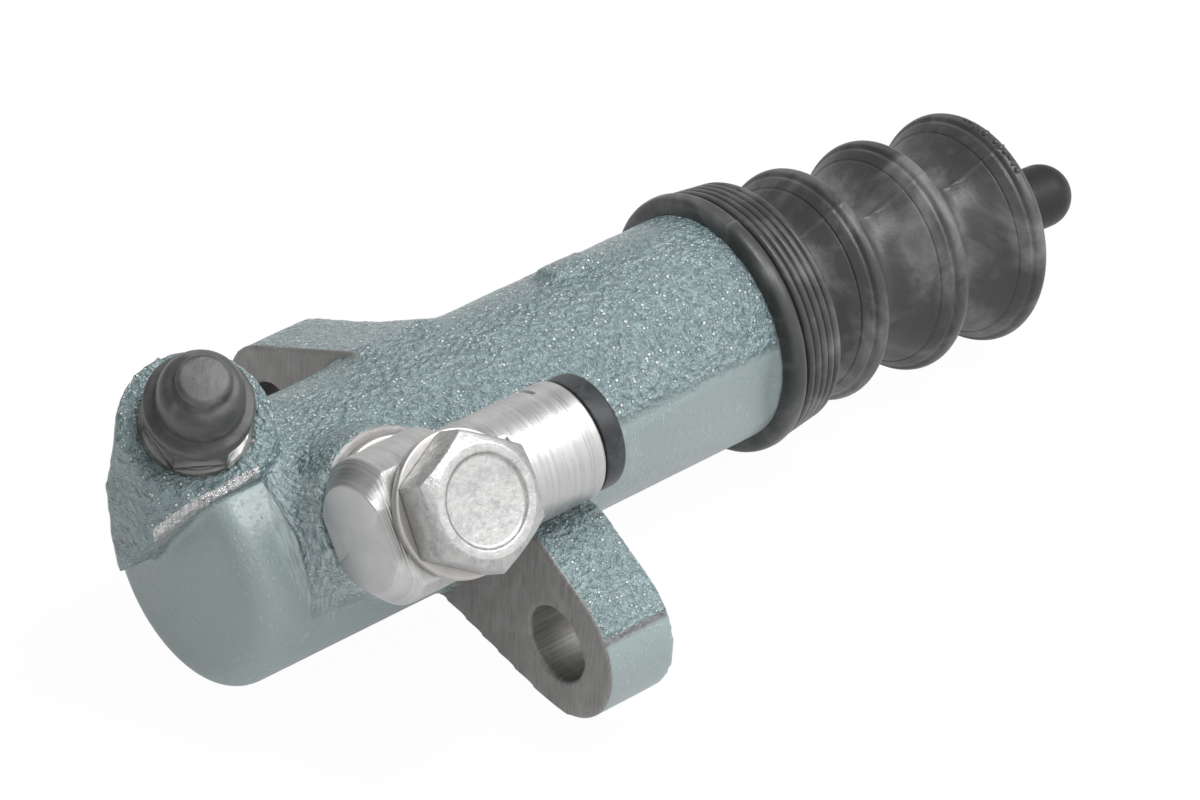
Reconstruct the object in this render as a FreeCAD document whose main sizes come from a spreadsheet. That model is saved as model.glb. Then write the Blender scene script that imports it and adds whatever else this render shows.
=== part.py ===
import FreeCAD, Part
import math
import os
import re
import Sketcher
from FreeCAD import Vector

# Hydraulic clutch slave cylinder with a side port, a bleeder and a bellows boot. Millimetres.
# Frame: the origin is midway between the two ear holes on the machined mounting face, +X runs
# along the bore toward the push rod, +Y runs along the line of the holes and +Z is up.

# Driving sizes: name, value and meaning. "Reach" is a distance from the mounting face along X,
# and "height" is a distance from the bore axis or a face along the piece's own axis.
SIZES = [
    ("axis_side", 4.0, "bore axis beside the middle of the two holes, toward +Y"),
    ("axis_up", 5.0, "bore axis above the line of the two holes"),
    ("barrel_diameter", 28.0, "outside of the cast barrel"),
    ("closed_reach", 29.55, "closed end of the barrel, on the -X side"),
    ("mouth_reach", 52.0, "open end of the barrel"),
    ("closed_rounding", 3.0, "rounding round the plane closed end"),
    ("end_pad_reach", 33.8, "plane face of the bleeder boss, on the -X side"),
    ("bore_diameter", 19.05, "bore, three quarters of an inch"),
    ("bore_floor_reach", 24.0, "bottom of the bore, on the -X side"),
    ("bore_lead", 0.8, "chamfer at the mouth of the bore"),
    ("hole_spacing", 50.0, "distance between the two mounting holes"),
    ("hole_diameter", 9.0, "clearance holes for M8 screws"),
    ("spot_face_diameter", 17.0, "spot faces under the heads of the screws"),
    ("ear_thickness", 9.5, "thickness of the mounting ears"),
    ("ear_radius", 9.0, "round tip of each ear"),
    ("ear_root_fillet", 4.0, "cast fillet where the ears meet the barrel"),
    ("near_shoulder_side", 24.8, "bend in the top edge of the -Y ear, from the bore axis"),
    ("near_shoulder_up", 7.0, "height of that bend above the bore axis"),
    ("far_shoulder_side", 7.8, "top edge of the +Y ear at the barrel, from the bore axis"),
    ("far_shoulder_up", 12.7, "height of that point above the bore axis"),
    ("root_side", 9.5, "lower edge of the ears at the barrel, from the bore axis"),
    ("root_down", 11.0, "depth of that point below the bore axis"),
    ("port_elevation", 36.0, "direction of the side port above -Y, in degrees"),
    ("port_reach", 12.5, "port axis, on the -X side"),
    ("port_face_height", 19.2, "machined seat of the port above the bore axis"),
    ("port_boss_diameter", 19.0, "cast boss under the port"),
    ("port_thread_diameter", 10.0, "M10 thread of the port"),
    ("port_floor_height", 10.7, "floor of the port above the bore axis"),
    ("port_drill", 3.0, "drilling from the port into the bore"),
    ("bleeder_azimuth", -120.0, "direction of the bleeder around Z, in degrees"),
    ("bleeder_elevation", 60.2, "direction of the bleeder above level, in degrees"),
    ("bleeder_reach", 25.8, "middle of the bleeder seat, on the -X side"),
    ("bleeder_side", 2.6, "middle of the bleeder seat from the bore axis, toward +Y"),
    ("bleeder_up", 18.2, "middle of the bleeder seat above the bore axis"),
    ("bleeder_boss_diameter", 17.5, "cast boss round the bleeder"),
    ("bleeder_thread_diameter", 8.0, "M8 thread of the bleeder"),
    ("bleeder_thread_depth", 9.0, "depth of that thread below the top of the boss"),
    ("bleeder_seat_length", 3.0, "conical seat at the foot of the thread"),
    ("bleeder_drill", 3.6, "drilling from the bleeder into the bore"),
    ("bleeder_drill_depth", 17.0, "depth of that drilling below the top of the boss"),
    ("bleeder_recess_diameter", 12.6, "spot face round the bleeder"),
    ("bleeder_recess_depth", 0.8, "depth of the spot face"),
    ("ledge_side", 4.6, "ledge under the boss at the level of the bore axis, toward +Y"),
    ("ledge_slope", 34.8, "lean of that ledge from upright toward -Y, in degrees"),
    ("shoulder_reach", 22.6, "where the boss's shoulder runs into the barrel, on the -X side"),
    ("shoulder_side", 5.8, "upper corner of the shoulder at its plane end, toward +Y"),
    ("shoulder_up", 16.5, "height of that corner above the bore axis"),
    ("shoulder_foot_up", 6.9, "lower corner of the shoulder at its plane end"),
    ("shoulder_low_side", 7.3, "lower bulge of the plane end on its far side, toward +Y"),
    ("shoulder_low_up", 2.6, "height of that bulge above the bore axis"),
    ("shoulder_far_side", 8.5, "widest point of the plane end, toward +Y"),
    ("shoulder_far_up", 9.6, "height of that point above the bore axis"),
    ("shoulder_crown_side", 6.5, "far upper corner of the plane end, toward +Y"),
    ("shoulder_crown_up", 17.6, "height of that corner above the bore axis"),
    ("shoulder_root_crown_up", 12.0, "height of the same corner inside the barrel"),
    ("shoulder_root_side", 4.6, "upper corner of the shoulder at the barrel, toward -Y"),
    ("shoulder_root_up", 15.4, "height of that corner above the bore axis"),
    ("shoulder_root_foot_up", 13.3, "lower corner of the shoulder at the barrel"),
    ("flat_start", 24.0, "start of the flat on the -Y side of the barrel"),
    ("flat_side", 13.6, "that flat at its start, from the bore axis"),
    ("flat_draft", 1.6, "how much that flat closes toward the mouth, in degrees"),
    ("pad_reach", 26.2, "raised pad on top of the barrel"),
    ("pad_length", 6.4, "length of that pad"),
    ("pad_side", 3.6, "near edge of that pad from the bore axis, toward +Y"),
    ("pad_width", 3.4, "width of that pad"),
    ("pad_rise", 0.9, "rise of that pad above the barrel"),
    ("port_thread_gap", 0.05, "gap between the union bolt and its thread"),
    ("gasket_thickness", 1.2, "both copper gaskets"),
    ("gasket_diameter", 16.4, "outside of both gaskets"),
    ("gasket_bore", 10.2, "hole of both gaskets"),
    ("union_diameter", 14.0, "turned body of the hose union"),
    ("union_eye_diameter", 17.0, "thick end of the union round the bolt"),
    ("union_eye_thickness", 11.0, "thickness across the two flats of the eye"),
    ("union_eye_reach", 9.5, "eye from its blind end to the bolt axis"),
    ("union_eye_front", 2.0, "eye beyond the bolt axis, toward the open end"),
    ("union_end_reach", 19.6, "open end of the union from the bolt axis"),
    ("union_end_chamfer", 2.3, "chamfer at the blind end of the union"),
    ("union_mouth_chamfer", 0.4, "chamfer at the open end of the union"),
    ("union_bore_diameter", 8.8, "tapped hose port"),
    ("union_bore_depth", 10.0, "depth of the hose port"),
    ("union_drill", 3.6, "drilling from the hose port to the eye"),
    ("union_eye_hole", 10.8, "hole through the eye, round the bolt"),
    ("plug_diameter", 13.4, "head of the plug in the hose port"),
    ("plug_head", 2.8, "thickness of that head"),
    ("plug_stem_diameter", 8.6, "stem of the plug"),
    ("plug_stem_length", 7.0, "length of that stem"),
    ("plug_clearance", 0.1, "gap between the plug and the union"),
    ("bolt_head_width", 14.0, "width across the flats of the union bolt"),
    ("bolt_head_turn", 27.0, "how far the tightened head is turned, in degrees"),
    ("bolt_head_height", 5.0, "height of the bolt's head"),
    ("bolt_head_chamfer", 0.5, "how far the head's top chamfer reaches inside its flats"),
    ("bolt_recess_diameter", 9.8, "shallow recess in the top of the head"),
    ("bolt_recess_depth", 0.4, "depth of that recess"),
    ("bolt_shank", 19.2, "length of the bolt below its head"),
    ("bolt_bore", 4.0, "drilling along the bolt"),
    ("bolt_cross_drill", 2.6, "cross drilling in the middle of the eye"),
    ("valve_plate_diameter", 8.4, "inlet valve plate"),
    ("valve_plate_thickness", 0.8, "thickness of that plate"),
    ("valve_plate_orifice", 1.0, "orifice in that plate"),
    ("valve_spring_diameter", 7.4, "outside of the valve spring"),
    ("valve_spring_wire", 0.5, "wire of the valve spring"),
    ("valve_spring_turns", 1.5, "turns of the valve spring"),
    ("piston_setback", 3.6, "rear face of the piston at rest behind the barrel's mouth"),
    ("piston_length", 32.0, "length of the piston"),
    ("piston_clearance", 0.04, "radial running fit of the piston in the bore"),
    ("piston_nose_diameter", 9.2, "nose that centres the spring"),
    ("piston_nose_length", 2.5, "length of that nose"),
    ("cup_groove_diameter", 12.6, "bottom of both cup grooves"),
    ("cup_groove_width", 5.0, "width of both cup grooves"),
    ("primary_groove", 4.5, "front groove from the front of the piston"),
    ("secondary_groove", 23.5, "rear groove from the front of the piston"),
    ("cup_clearance", 0.05, "gap between a cup and the bore"),
    ("cup_edge", 0.9, "thickness of a cup's lips at their edges"),
    ("cup_lip", 1.5, "depth of the hollow between a cup's lips"),
    ("ball_diameter", 10.0, "ball end of the push rod"),
    ("ball_clearance", 0.05, "gap between the ball and its socket"),
    ("ball_depth", 10.4, "middle of the ball inside the piston's rear face"),
    ("socket_mouth_diameter", 13.6, "flare of the socket at the piston's rear face"),
    ("spring_wire", 1.6, "wire of the return spring"),
    ("spring_large_diameter", 18.0, "outside of the spring at the bore's floor"),
    ("spring_small_diameter", 13.0, "outside of the spring at the piston"),
    ("spring_turns", 6.0, "turns of the return spring"),
    ("spring_steps", 10.0, "straight lengths in one turn of both springs"),
    ("stop_wire", 1.5, "wire of the stop ring"),
    ("stop_groove_diameter", 21.0, "groove of the stop ring"),
    ("stop_groove_width", 1.6, "width of that groove"),
    ("stop_gap", 40.0, "open part of the stop ring, in degrees"),
    ("rod_diameter", 7.9, "push rod"),
    ("rod_neck_diameter", 6.4, "neck behind the ball"),
    ("rod_length", 64.0, "middle of the ball to the middle of the rounded tip"),
    ("rod_droop", 3.75, "how far the free rod hangs below the bore axis, in degrees"),
    ("rod_swing", 0.67, "how far the free rod leans toward -Y, in degrees"),
    ("boot_overlap", 5.3, "how far the boot's collar reaches over the barrel"),
    ("boot_collar_wall", 1.3, "wall of the collar between its ribs"),
    ("boot_rib_height", 0.8, "height of the first rib over that wall"),
    ("boot_rib_taper", 0.35, "how much smaller in radius each rib is than the one before it"),
    ("boot_rib_width", 2.0, "width of a rib"),
    ("boot_rib_pitch", 3.1, "distance between ribs"),
    ("boot_front_thickness", 1.5, "wall of the collar across the barrel's mouth"),
    ("boot_bead_depth", 1.0, "bead of the boot in the barrel's groove"),
    ("boot_bead_width", 2.4, "width of that bead"),
    ("boot_bead_setback", 3.0, "middle of that bead behind the barrel's mouth"),
    ("boot_crest_diameter", 28.5, "crests of the bellows"),
    ("boot_valley_diameter", 18.6, "valleys of the bellows"),
    ("boot_valley_back", 4.2, "start of a valley behind the crest before it"),
    ("boot_valley_width", 1.4, "flat bottom of a valley"),
    ("boot_first_crest", 9.0, "first crest from the bend of the boot"),
    ("boot_pitch", 12.9, "distance between crests"),
    ("boot_crest_width", 0.8, "flat band on each crest"),
    ("boot_wall", 1.5, "rubber wall"),
    ("boot_run_in", 1.4, "bellows inside the collar's wall before their bend"),
    ("boot_bend", 2.0, "bend of the hanging bellows in front of the barrel's mouth"),
    ("boot_lip_diameter", 10.5, "lip that grips the rod"),
    ("boot_lip_length", 2.0, "length of that lip"),
    ("boot_lip_reach", 38.5, "end of the lip from the bend of the boot"),
    ("boot_lip_clearance", 0.15, "gap between the lip and the rod"),
    ("screw_hex", 10.0, "width across the flats of the bleeder screw"),
    ("screw_hex_height", 3.6, "height of that hexagon"),
    ("screw_nipple_diameter", 6.2, "hose nipple of the bleeder screw"),
    ("screw_nipple_length", 6.4, "nipple above the hexagon"),
    ("screw_neck_length", 3.2, "neck above the hexagon"),
    ("screw_bead_height", 4.5, "widest point of the nipple's bead above the hexagon"),
    ("screw_bore", 1.8, "drilling in the bleeder screw"),
    ("screw_neck_diameter", 5.0, "neck below the nipple's bead"),
    ("screw_clearance", 0.05, "gap between the screw and its thread"),
    ("screw_lift", 0.3, "underside of the hexagon above the spot face"),
    ("cap_flange_diameter", 12.0, "lower rim of the bleeder cap"),
    ("cap_body_diameter", 9.6, "body of the cap"),
    ("cap_button_diameter", 5.9, "raised top of the cap"),
    ("cap_height", 8.8, "height of the cap"),
    ("cap_flange_height", 1.9, "rim of the cap"),
    ("cap_button_height", 1.8, "raised top of the cap"),
    ("cap_lift", 0.2, "cap above the hexagon of the screw"),
    ("cap_clearance", 0.1, "gap between the cap and the nipple"),
]

doc = FreeCAD.newDocument("slave_cylinder")
sheet = doc.addObject("Spreadsheet::Sheet", "sizes")
for line, (name, number, meaning) in enumerate(SIZES, start=1):
    sheet.set(f"A{line}", meaning)
    sheet.set(f"B{line}", str(number))
    sheet.setAlias(f"B{line}", name)
doc.recompute()
NAMES = {name for name, number, meaning in SIZES}


def size(name):
    """A driving size as a number."""
    return float(sheet.get(name))


def linked(text):
    """An expression with every driving size named in its sheet."""
    return re.sub(r"[a-z_]+", lambda found: "sizes." + found.group() if found.group() in NAMES
                  else found.group(), text)


def bind(thing, **expressions):
    """Ties properties of an object to the sheet."""
    for name, text in expressions.items():
        thing.setExpression(name, linked(text))


def place(thing, reach="0", side="0", up="0", azimuth="0", elevation="0"):
    """Puts a piece at a point of the bore axis frame, its own X axis along a direction."""
    thing.setExpression("Placement", linked(
        f"placement(vector({reach}; axis_side + {side}; axis_up + {up}); "
        f"rotation({azimuth}; -({elevation}); 0))"))


def plane(body, role):
    """One of the origin planes of a body."""
    return next(item for item in body.Origin.OriginFeatures if item.Role == role)


def new_body(label):
    body = doc.addObject("PartDesign::Body", label)
    body.Label = label
    return body


def new_sketch(body, name, role="XY_Plane"):
    sketch = body.newObject("Sketcher::SketchObject", name)
    sketch.AttachmentSupport = [(plane(body, role), "")]
    sketch.MapMode = "FlatFace"
    return sketch


def pin(sketch, edge, end, along, across):
    """Fixes a sketch point by two expressions, measured from the sketch's origin."""
    for kind, text in (("DistanceX", along), ("DistanceY", across)):
        number = sketch.addConstraint(Sketcher.Constraint(kind, -1, 1, edge, end, 1.0))
        sketch.setExpression(f"Constraints[{number}]", linked(text))


def polygon(sketch, corners):
    """A closed outline of straight edges whose corners are pairs of expressions."""
    count = len(corners)
    spots = [Vector(math.cos(turn), math.sin(turn), 0)
             for turn in (2 * math.pi * step / count for step in range(count))]
    for step in range(count):
        sketch.addGeometry(Part.LineSegment(spots[step], spots[(step + 1) % count]), False)
    for step in range(count):
        sketch.addConstraint(Sketcher.Constraint("Coincident", step, 2, (step + 1) % count, 1))
    for step, (along, across) in enumerate(corners):
        pin(sketch, step, 1, along, across)


def revolved(body, name, corners):
    """Turns an outline of (distance along X, radius) corners round the body's X axis."""
    sketch = new_sketch(body, name + "_outline")
    polygon(sketch, corners)
    turned = body.newObject("PartDesign::Revolution", name)
    turned.Profile = sketch
    turned.ReferenceAxis = (sketch, ["H_Axis"])
    turned.Angle = 360
    doc.recompute()
    return turned


def bored(body, name, corners):
    """Turns a cut out of the body round its X axis."""
    sketch = new_sketch(body, name + "_outline")
    polygon(sketch, corners)
    cut = body.newObject("PartDesign::Groove", name)
    cut.Profile = sketch
    cut.ReferenceAxis = (sketch, ["H_Axis"])
    cut.Angle = 360
    doc.recompute()
    return cut


def rings(feature, accept):
    """Names of the round edges of a feature whose place and radius pass a test."""
    found = []
    for number, edge in enumerate(feature.Shape.Edges, start=1):
        curve = edge.Curve
        if isinstance(curve, Part.Circle) and accept(curve.Center.x, curve.Radius):
            found.append(f"Edge{number}")
    return found


def rounded(body, feature, name, radius, accept):
    """Rounds chosen round edges of a turned feature."""
    fillet = body.newObject("PartDesign::Fillet", name)
    fillet.Base = (feature, rings(feature, accept))
    bind(fillet, Radius=radius)
    doc.recompute()
    return fillet


def near(first, second, slack=0.01):
    return abs(first - second) < slack


def cylinder(name, radius, length):
    """A plain cylinder along its own X axis once it is placed."""
    rod = new_body(name)
    revolved(rod, name + "_turn", [("0", "0"), ("0", radius), (length, radius), (length, "0")])
    return rod


def hexagon(body, name, start, width, length, turn="0"):
    """Pads a hexagon whose flats are a given width apart, from a distance along X."""
    sketch = new_sketch(body, name + "_outline", "YZ_Plane")
    polygon(sketch, [(f"({width}) / sqrt(3) * cos(({60 * step} + {turn}) * 1 deg)",
                      f"({width}) / sqrt(3) * sin(({60 * step} + {turn}) * 1 deg)") for step in range(6)])
    sketch.setExpression(".AttachmentOffset.Base.z", linked(start))
    pad = body.newObject("PartDesign::Pad", name)
    pad.Profile = sketch
    bind(pad, Length=length)
    doc.recompute()
    return pad


# Cast barrel, closed at the -X end, with the groove that holds the boot's bead
BARREL = "barrel_diameter / 2"
ALONG = "closed_reach + mouth_reach"
barrel = new_body("barrel_form")
turned = revolved(barrel, "barrel_turn", [
    ("0", "0"), ("0", BARREL),
    ("closed_reach + mouth_reach - boot_bead_setback - boot_bead_width / 2", BARREL),
    ("closed_reach + mouth_reach - boot_bead_setback - boot_bead_width / 2", f"{BARREL} - boot_bead_depth"),
    ("closed_reach + mouth_reach - boot_bead_setback + boot_bead_width / 2", f"{BARREL} - boot_bead_depth"),
    ("closed_reach + mouth_reach - boot_bead_setback + boot_bead_width / 2", BARREL),
    (ALONG, BARREL), (ALONG, "0")])
rounded(barrel, turned, "closed_end_round", "closed_rounding",
        lambda along, radius: near(along, 0))
barrel.setExpression(".Placement.Base.x", linked("-closed_reach"))

# Mounting ears: one plate across the barrel, its tips round about the screw holes
ears = new_body("ears_form")
outline = new_sketch(ears, "ears_outline", "YZ_Plane")
near_hole = size("hole_spacing") / 2 + size("axis_side")
far_hole = size("hole_spacing") / 2 - size("axis_side")
drop = size("axis_up")
tip = size("ear_radius")


def touch(point, centre, radius, side):
    """Where the tangent from a point meets a circle, on its left (1) or right (-1) side."""
    away = point.sub(centre)
    turn = math.atan2(away.y, away.x) + side * math.acos(radius / away.Length)
    return centre.add(Vector(radius * math.cos(turn), radius * math.sin(turn), 0))


near_tip = Vector(-near_hole, -drop, 0)
far_tip = Vector(far_hole, -drop, 0)
near_top = Vector(-size("near_shoulder_side"), size("near_shoulder_up"), 0)
far_top = Vector(size("far_shoulder_side"), size("far_shoulder_up"), 0)
near_root = Vector(-size("root_side"), -size("root_down"), 0)
far_root = Vector(size("root_side"), -size("root_down"), 0)
near_inner = Vector(-size("barrel_diameter") / 4, size("near_shoulder_up"), 0)
near_upper = touch(near_top, near_tip, tip, 1)
near_lower = touch(near_root, near_tip, tip, -1)
far_upper = touch(far_top, far_tip, tip, -1)
far_lower = touch(far_root, far_tip, tip, 1)


def arc_between(centre, radius, start, end):
    """An arc round a centre, anticlockwise from one point to another."""
    turns = [math.atan2(spot.y - centre.y, spot.x - centre.x) for spot in (start, end)]
    return Part.ArcOfCircle(Part.Circle(centre, Vector(0, 0, 1), radius), *turns)


for piece in (arc_between(near_tip, tip, near_upper, near_lower),
              Part.LineSegment(near_lower, near_root),
              Part.LineSegment(near_root, far_root),
              Part.LineSegment(far_root, far_lower),
              arc_between(far_tip, tip, far_lower, far_upper),
              Part.LineSegment(far_upper, far_top),
              Part.LineSegment(far_top, near_inner),
              Part.LineSegment(near_inner, near_top),
              Part.LineSegment(near_top, near_upper)):
    outline.addGeometry(piece, False)
for edge, end, other in ((1, 2, 2), (2, 2, 3), (5, 2, 6), (6, 2, 7), (7, 2, 8)):
    outline.addConstraint(Sketcher.Constraint("Coincident", edge, end, other, 1))
for edge, end, other, start in ((0, 2, 1, 1), (3, 2, 4, 1), (4, 2, 5, 1), (8, 2, 0, 1)):
    outline.addConstraint(Sketcher.Constraint("Tangent", edge, end, other, start))
for arc in (0, 4):
    number = outline.addConstraint(Sketcher.Constraint("Radius", arc, tip))
    outline.setExpression(f"Constraints[{number}]", linked("ear_radius"))
pin(outline, 0, 3, "-hole_spacing / 2 - axis_side", "-axis_up")
pin(outline, 4, 3, "hole_spacing / 2 - axis_side", "-axis_up")
pin(outline, 1, 2, "-root_side", "-root_down")
pin(outline, 2, 2, "root_side", "-root_down")
pin(outline, 5, 2, "far_shoulder_side", "far_shoulder_up")
pin(outline, 6, 2, "-barrel_diameter / 4", "near_shoulder_up")
pin(outline, 7, 2, "-near_shoulder_side", "near_shoulder_up")
pad = ears.newObject("PartDesign::Pad", "ears_pad")
pad.Profile = outline
bind(pad, Length="ear_thickness")
doc.recompute()

# Cast flare where the ears meet the barrel: a turned fillet cut to the outline of the ears
flare_turn = new_body("flare_turn")
STEP = "ear_root_fillet * 9 / 8"
turned = revolved(flare_turn, "flare_step", [
    ("0", "0"), ("0", f"{BARREL} + {STEP}"), ("ear_thickness", f"{BARREL} + {STEP}"),
    ("ear_thickness", BARREL), (f"ear_thickness + {STEP}", BARREL), (f"ear_thickness + {STEP}", "0")])
rounded(flare_turn, turned, "flare_round", "ear_root_fillet",
        lambda along, radius: near(along, size("ear_thickness"))
        and near(radius, size("barrel_diameter") / 2))
flare_prism = doc.addObject("Part::Extrusion", "flare_prism")
flare_prism.Base = outline
flare_prism.Dir = Vector(1, 0, 0)
flare_prism.Solid = True
bind(flare_prism, LengthFwd=f"ear_thickness + {STEP}")
flare = doc.addObject("Part::Common", "ear_flare")
flare.Base = flare_turn
flare.Tool = flare_prism
doc.recompute()

# Cast bosses of the port and the bleeder
port_boss = cylinder("port_boss", "port_boss_diameter / 2", "port_face_height")
PORT = {"azimuth": "-90", "elevation": "port_elevation"}
BLEEDER = {"azimuth": "bleeder_azimuth", "elevation": "bleeder_elevation"}


def on_axis(thing, reach="0", side="0", up="0", azimuth="0", elevation="0"):
    """Puts a form of the casting in the bore axis frame, before the casting is placed."""
    thing.setExpression("Placement", linked(
        f"placement(vector({reach}; {side}; {up}); rotation({azimuth}; -({elevation}); 0))"))


on_axis(port_boss, "-port_reach", **PORT)


def down_bleeder(depth):
    """Expressions of the point at a depth below the bleeder seat, along its axis."""
    level = "cos(bleeder_elevation * 1 deg)"
    return (f"-bleeder_reach - ({depth}) * {level} * cos(bleeder_azimuth * 1 deg)",
            f"bleeder_side - ({depth}) * {level} * sin(bleeder_azimuth * 1 deg)",
            f"bleeder_up - ({depth}) * sin(bleeder_elevation * 1 deg)")


bleeder_rim = doc.addObject("Part::Circle", "bleeder_rim")
bind(bleeder_rim, Radius="bleeder_boss_diameter / 2")
rim_reach, rim_side, rim_up = down_bleeder("0")
bleeder_rim.setExpression("Placement", linked(
    f"placement(vector({rim_reach}; {rim_side}; {rim_up}); "
    "rotation(bleeder_azimuth; 90 - bleeder_elevation; 0))"))
bleeder_boss = doc.addObject("Part::Extrusion", "bleeder_boss")
bleeder_boss.Base = bleeder_rim
bleeder_boss.DirMode = "Custom"
bleeder_boss.Dir = Vector(0, 0, -1)
bleeder_boss.Solid = True
bind(bleeder_boss, LengthFwd="bleeder_up")

# The boss ends on a sloping ledge; a shoulder with two plane corners carries it into the barrel
ledge = doc.addObject("Part::Box", "boss_ledge")
bind(ledge, Length="barrel_diameter * 2", Width="barrel_diameter", Height="barrel_diameter * 2")
ledge.setExpression("Placement", linked(
    "placement(vector(-end_pad_reach - barrel_diameter / 2; "
    "ledge_side - barrel_diameter * (cos(ledge_slope * 1 deg) - sin(ledge_slope * 1 deg)); "
    "-barrel_diameter * (sin(ledge_slope * 1 deg) + cos(ledge_slope * 1 deg))); "
    "rotation(0; 0; ledge_slope))"))
trimmed = doc.addObject("Part::Cut", "bleeder_boss_trimmed")
trimmed.Base = bleeder_boss
trimmed.Tool = ledge
shoulder = new_body("boss_shoulder")
stations = []
for name, reach, top, foot, crown in (
        ("shoulder_end", "-end_pad_reach", ("shoulder_side", "shoulder_up"), "shoulder_foot_up",
         "shoulder_crown_up"),
        ("shoulder_root", "-shoulder_reach", ("-shoulder_root_side", "shoulder_root_up"),
         "shoulder_root_foot_up", "shoulder_root_crown_up")):
    station = new_sketch(shoulder, name, "YZ_Plane")
    polygon(station, [
        top, (f"ledge_side - {foot} * tan(ledge_slope * 1 deg)", foot), ("ledge_side", "0"),
        ("shoulder_low_side", "shoulder_low_up"), ("shoulder_far_side", "shoulder_far_up"),
        ("shoulder_crown_side", crown)])
    station.setExpression(".AttachmentOffset.Base.z", linked(reach))
    stations.append(station)
loft = shoulder.newObject("PartDesign::AdditiveLoft", "shoulder_loft")
loft.Profile = stations[0]
loft.Sections = [stations[1]]
loft.Ruled = True

# Raised plain pad on top of the barrel
pad_strip = doc.addObject("Part::Box", "pad_strip")
bind(pad_strip, Length="pad_length", Width="pad_width", Height="barrel_diameter")
on_axis(pad_strip, "pad_reach", "pad_side", "0")
pad_round = cylinder("pad_round", "barrel_diameter / 2 + pad_rise", "pad_reach + pad_length")
top_pad = doc.addObject("Part::Common", "top_pad")
top_pad.Base = pad_strip
top_pad.Tool = pad_round
doc.recompute()

forms = doc.addObject("Part::MultiFuse", "casting_forms")
forms.Shapes = [barrel, ears, flare, port_boss, trimmed, shoulder, top_pad]
forms.Refine = True
doc.recompute()

# What is cut out of the casting: the plane end of the boss, the bore with its ring groove, the flat
# on the -Y side, the screw holes with their spot faces, the port and the bleeder passage
end_plane = doc.addObject("Part::Box", "end_plane")
bind(end_plane, Length="barrel_diameter", Width="barrel_diameter * 3", Height="barrel_diameter * 3")
on_axis(end_plane, "-end_pad_reach - barrel_diameter", "-barrel_diameter * 1.5", "-barrel_diameter * 1.5")

BORE = "bore_diameter / 2"
BORE_LENGTH = "(bore_floor_reach + mouth_reach)"
RING = "(bore_floor_reach + mouth_reach - piston_setback + stop_wire / 2)"
bore = new_body("bore_form")
revolved(bore, "bore_turn", [
    ("0", "0"), ("0", BORE),
    (f"{RING} - stop_groove_width / 2", BORE),
    (f"{RING} - stop_groove_width / 2", "stop_groove_diameter / 2"),
    (f"{RING} + stop_groove_width / 2", "stop_groove_diameter / 2"),
    (f"{RING} + stop_groove_width / 2", BORE),
    (f"{BORE_LENGTH} - bore_lead", BORE), (f"{BORE_LENGTH}", f"{BORE} + bore_lead"),
    (f"{BORE_LENGTH} + bore_lead", f"{BORE} + bore_lead"), (f"{BORE_LENGTH} + bore_lead", "0")])
on_axis(bore, "-bore_floor_reach")

side_flat = doc.addObject("Part::Box", "side_flat")
bind(side_flat, Length="mouth_reach - boot_overlap - flat_start", Width="barrel_diameter / 4",
     Height="barrel_diameter")
side_flat.setExpression("Placement", linked(
    "placement(vector(flat_start + barrel_diameter / 4 * sin(flat_draft * 1 deg); "
    "-flat_side - barrel_diameter / 4 * cos(flat_draft * 1 deg); -barrel_diameter / 2); "
    "rotation(flat_draft; 0; 0))"))
cuts = [end_plane, bore, side_flat]
for side, across in (("near", "-hole_spacing / 2 - axis_side"), ("far", "hole_spacing / 2 - axis_side")):
    hole = cylinder(f"{side}_hole", "hole_diameter / 2", "ear_thickness * 2")
    on_axis(hole, "-ear_thickness / 2", across, "-axis_up")
    spot = cylinder(f"{side}_spot_face", "spot_face_diameter / 2", "ear_thickness")
    on_axis(spot, "ear_thickness", across, "-axis_up")
    cuts += [hole, spot]

port_hole = new_body("port_hole")
revolved(port_hole, "port_turn", [
    (f"{BORE} - port_drill", "0"), (f"{BORE} - port_drill", "port_drill / 2"),
    ("port_floor_height", "port_drill / 2"), ("port_floor_height", "port_thread_diameter / 2"),
    ("port_face_height + port_drill", "port_thread_diameter / 2"),
    ("port_face_height + port_drill", "0")])
on_axis(port_hole, "-port_reach", **PORT)

DRILLED = "bleeder_drill_depth"
THREADED = "bleeder_drill_depth - bleeder_thread_depth"
RECESSED = "bleeder_drill_depth - bleeder_recess_depth"
bleeder_hole = new_body("bleeder_hole")
revolved(bleeder_hole, "bleeder_turn", [
    ("0", "0"), ("0", "bleeder_drill / 2"),
    (f"{THREADED} - bleeder_seat_length", "bleeder_drill / 2"),
    (THREADED, "bleeder_thread_diameter / 2"), (RECESSED, "bleeder_thread_diameter / 2"),
    (RECESSED, "bleeder_recess_diameter / 2"),
    (f"{DRILLED} + bleeder_recess_diameter", "bleeder_recess_diameter / 2"),
    (f"{DRILLED} + bleeder_recess_diameter", "0")])
on_axis(bleeder_hole, *down_bleeder(DRILLED), **BLEEDER)
cuts += [port_hole, bleeder_hole]
doc.recompute()

hollows = doc.addObject("Part::MultiFuse", "casting_hollows")
hollows.Shapes = cuts
casting = doc.addObject("Part::Cut", "cylinder_body")
casting.Base = forms
casting.Tool = hollows
casting.Refine = True
place(casting)
doc.recompute()

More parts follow.
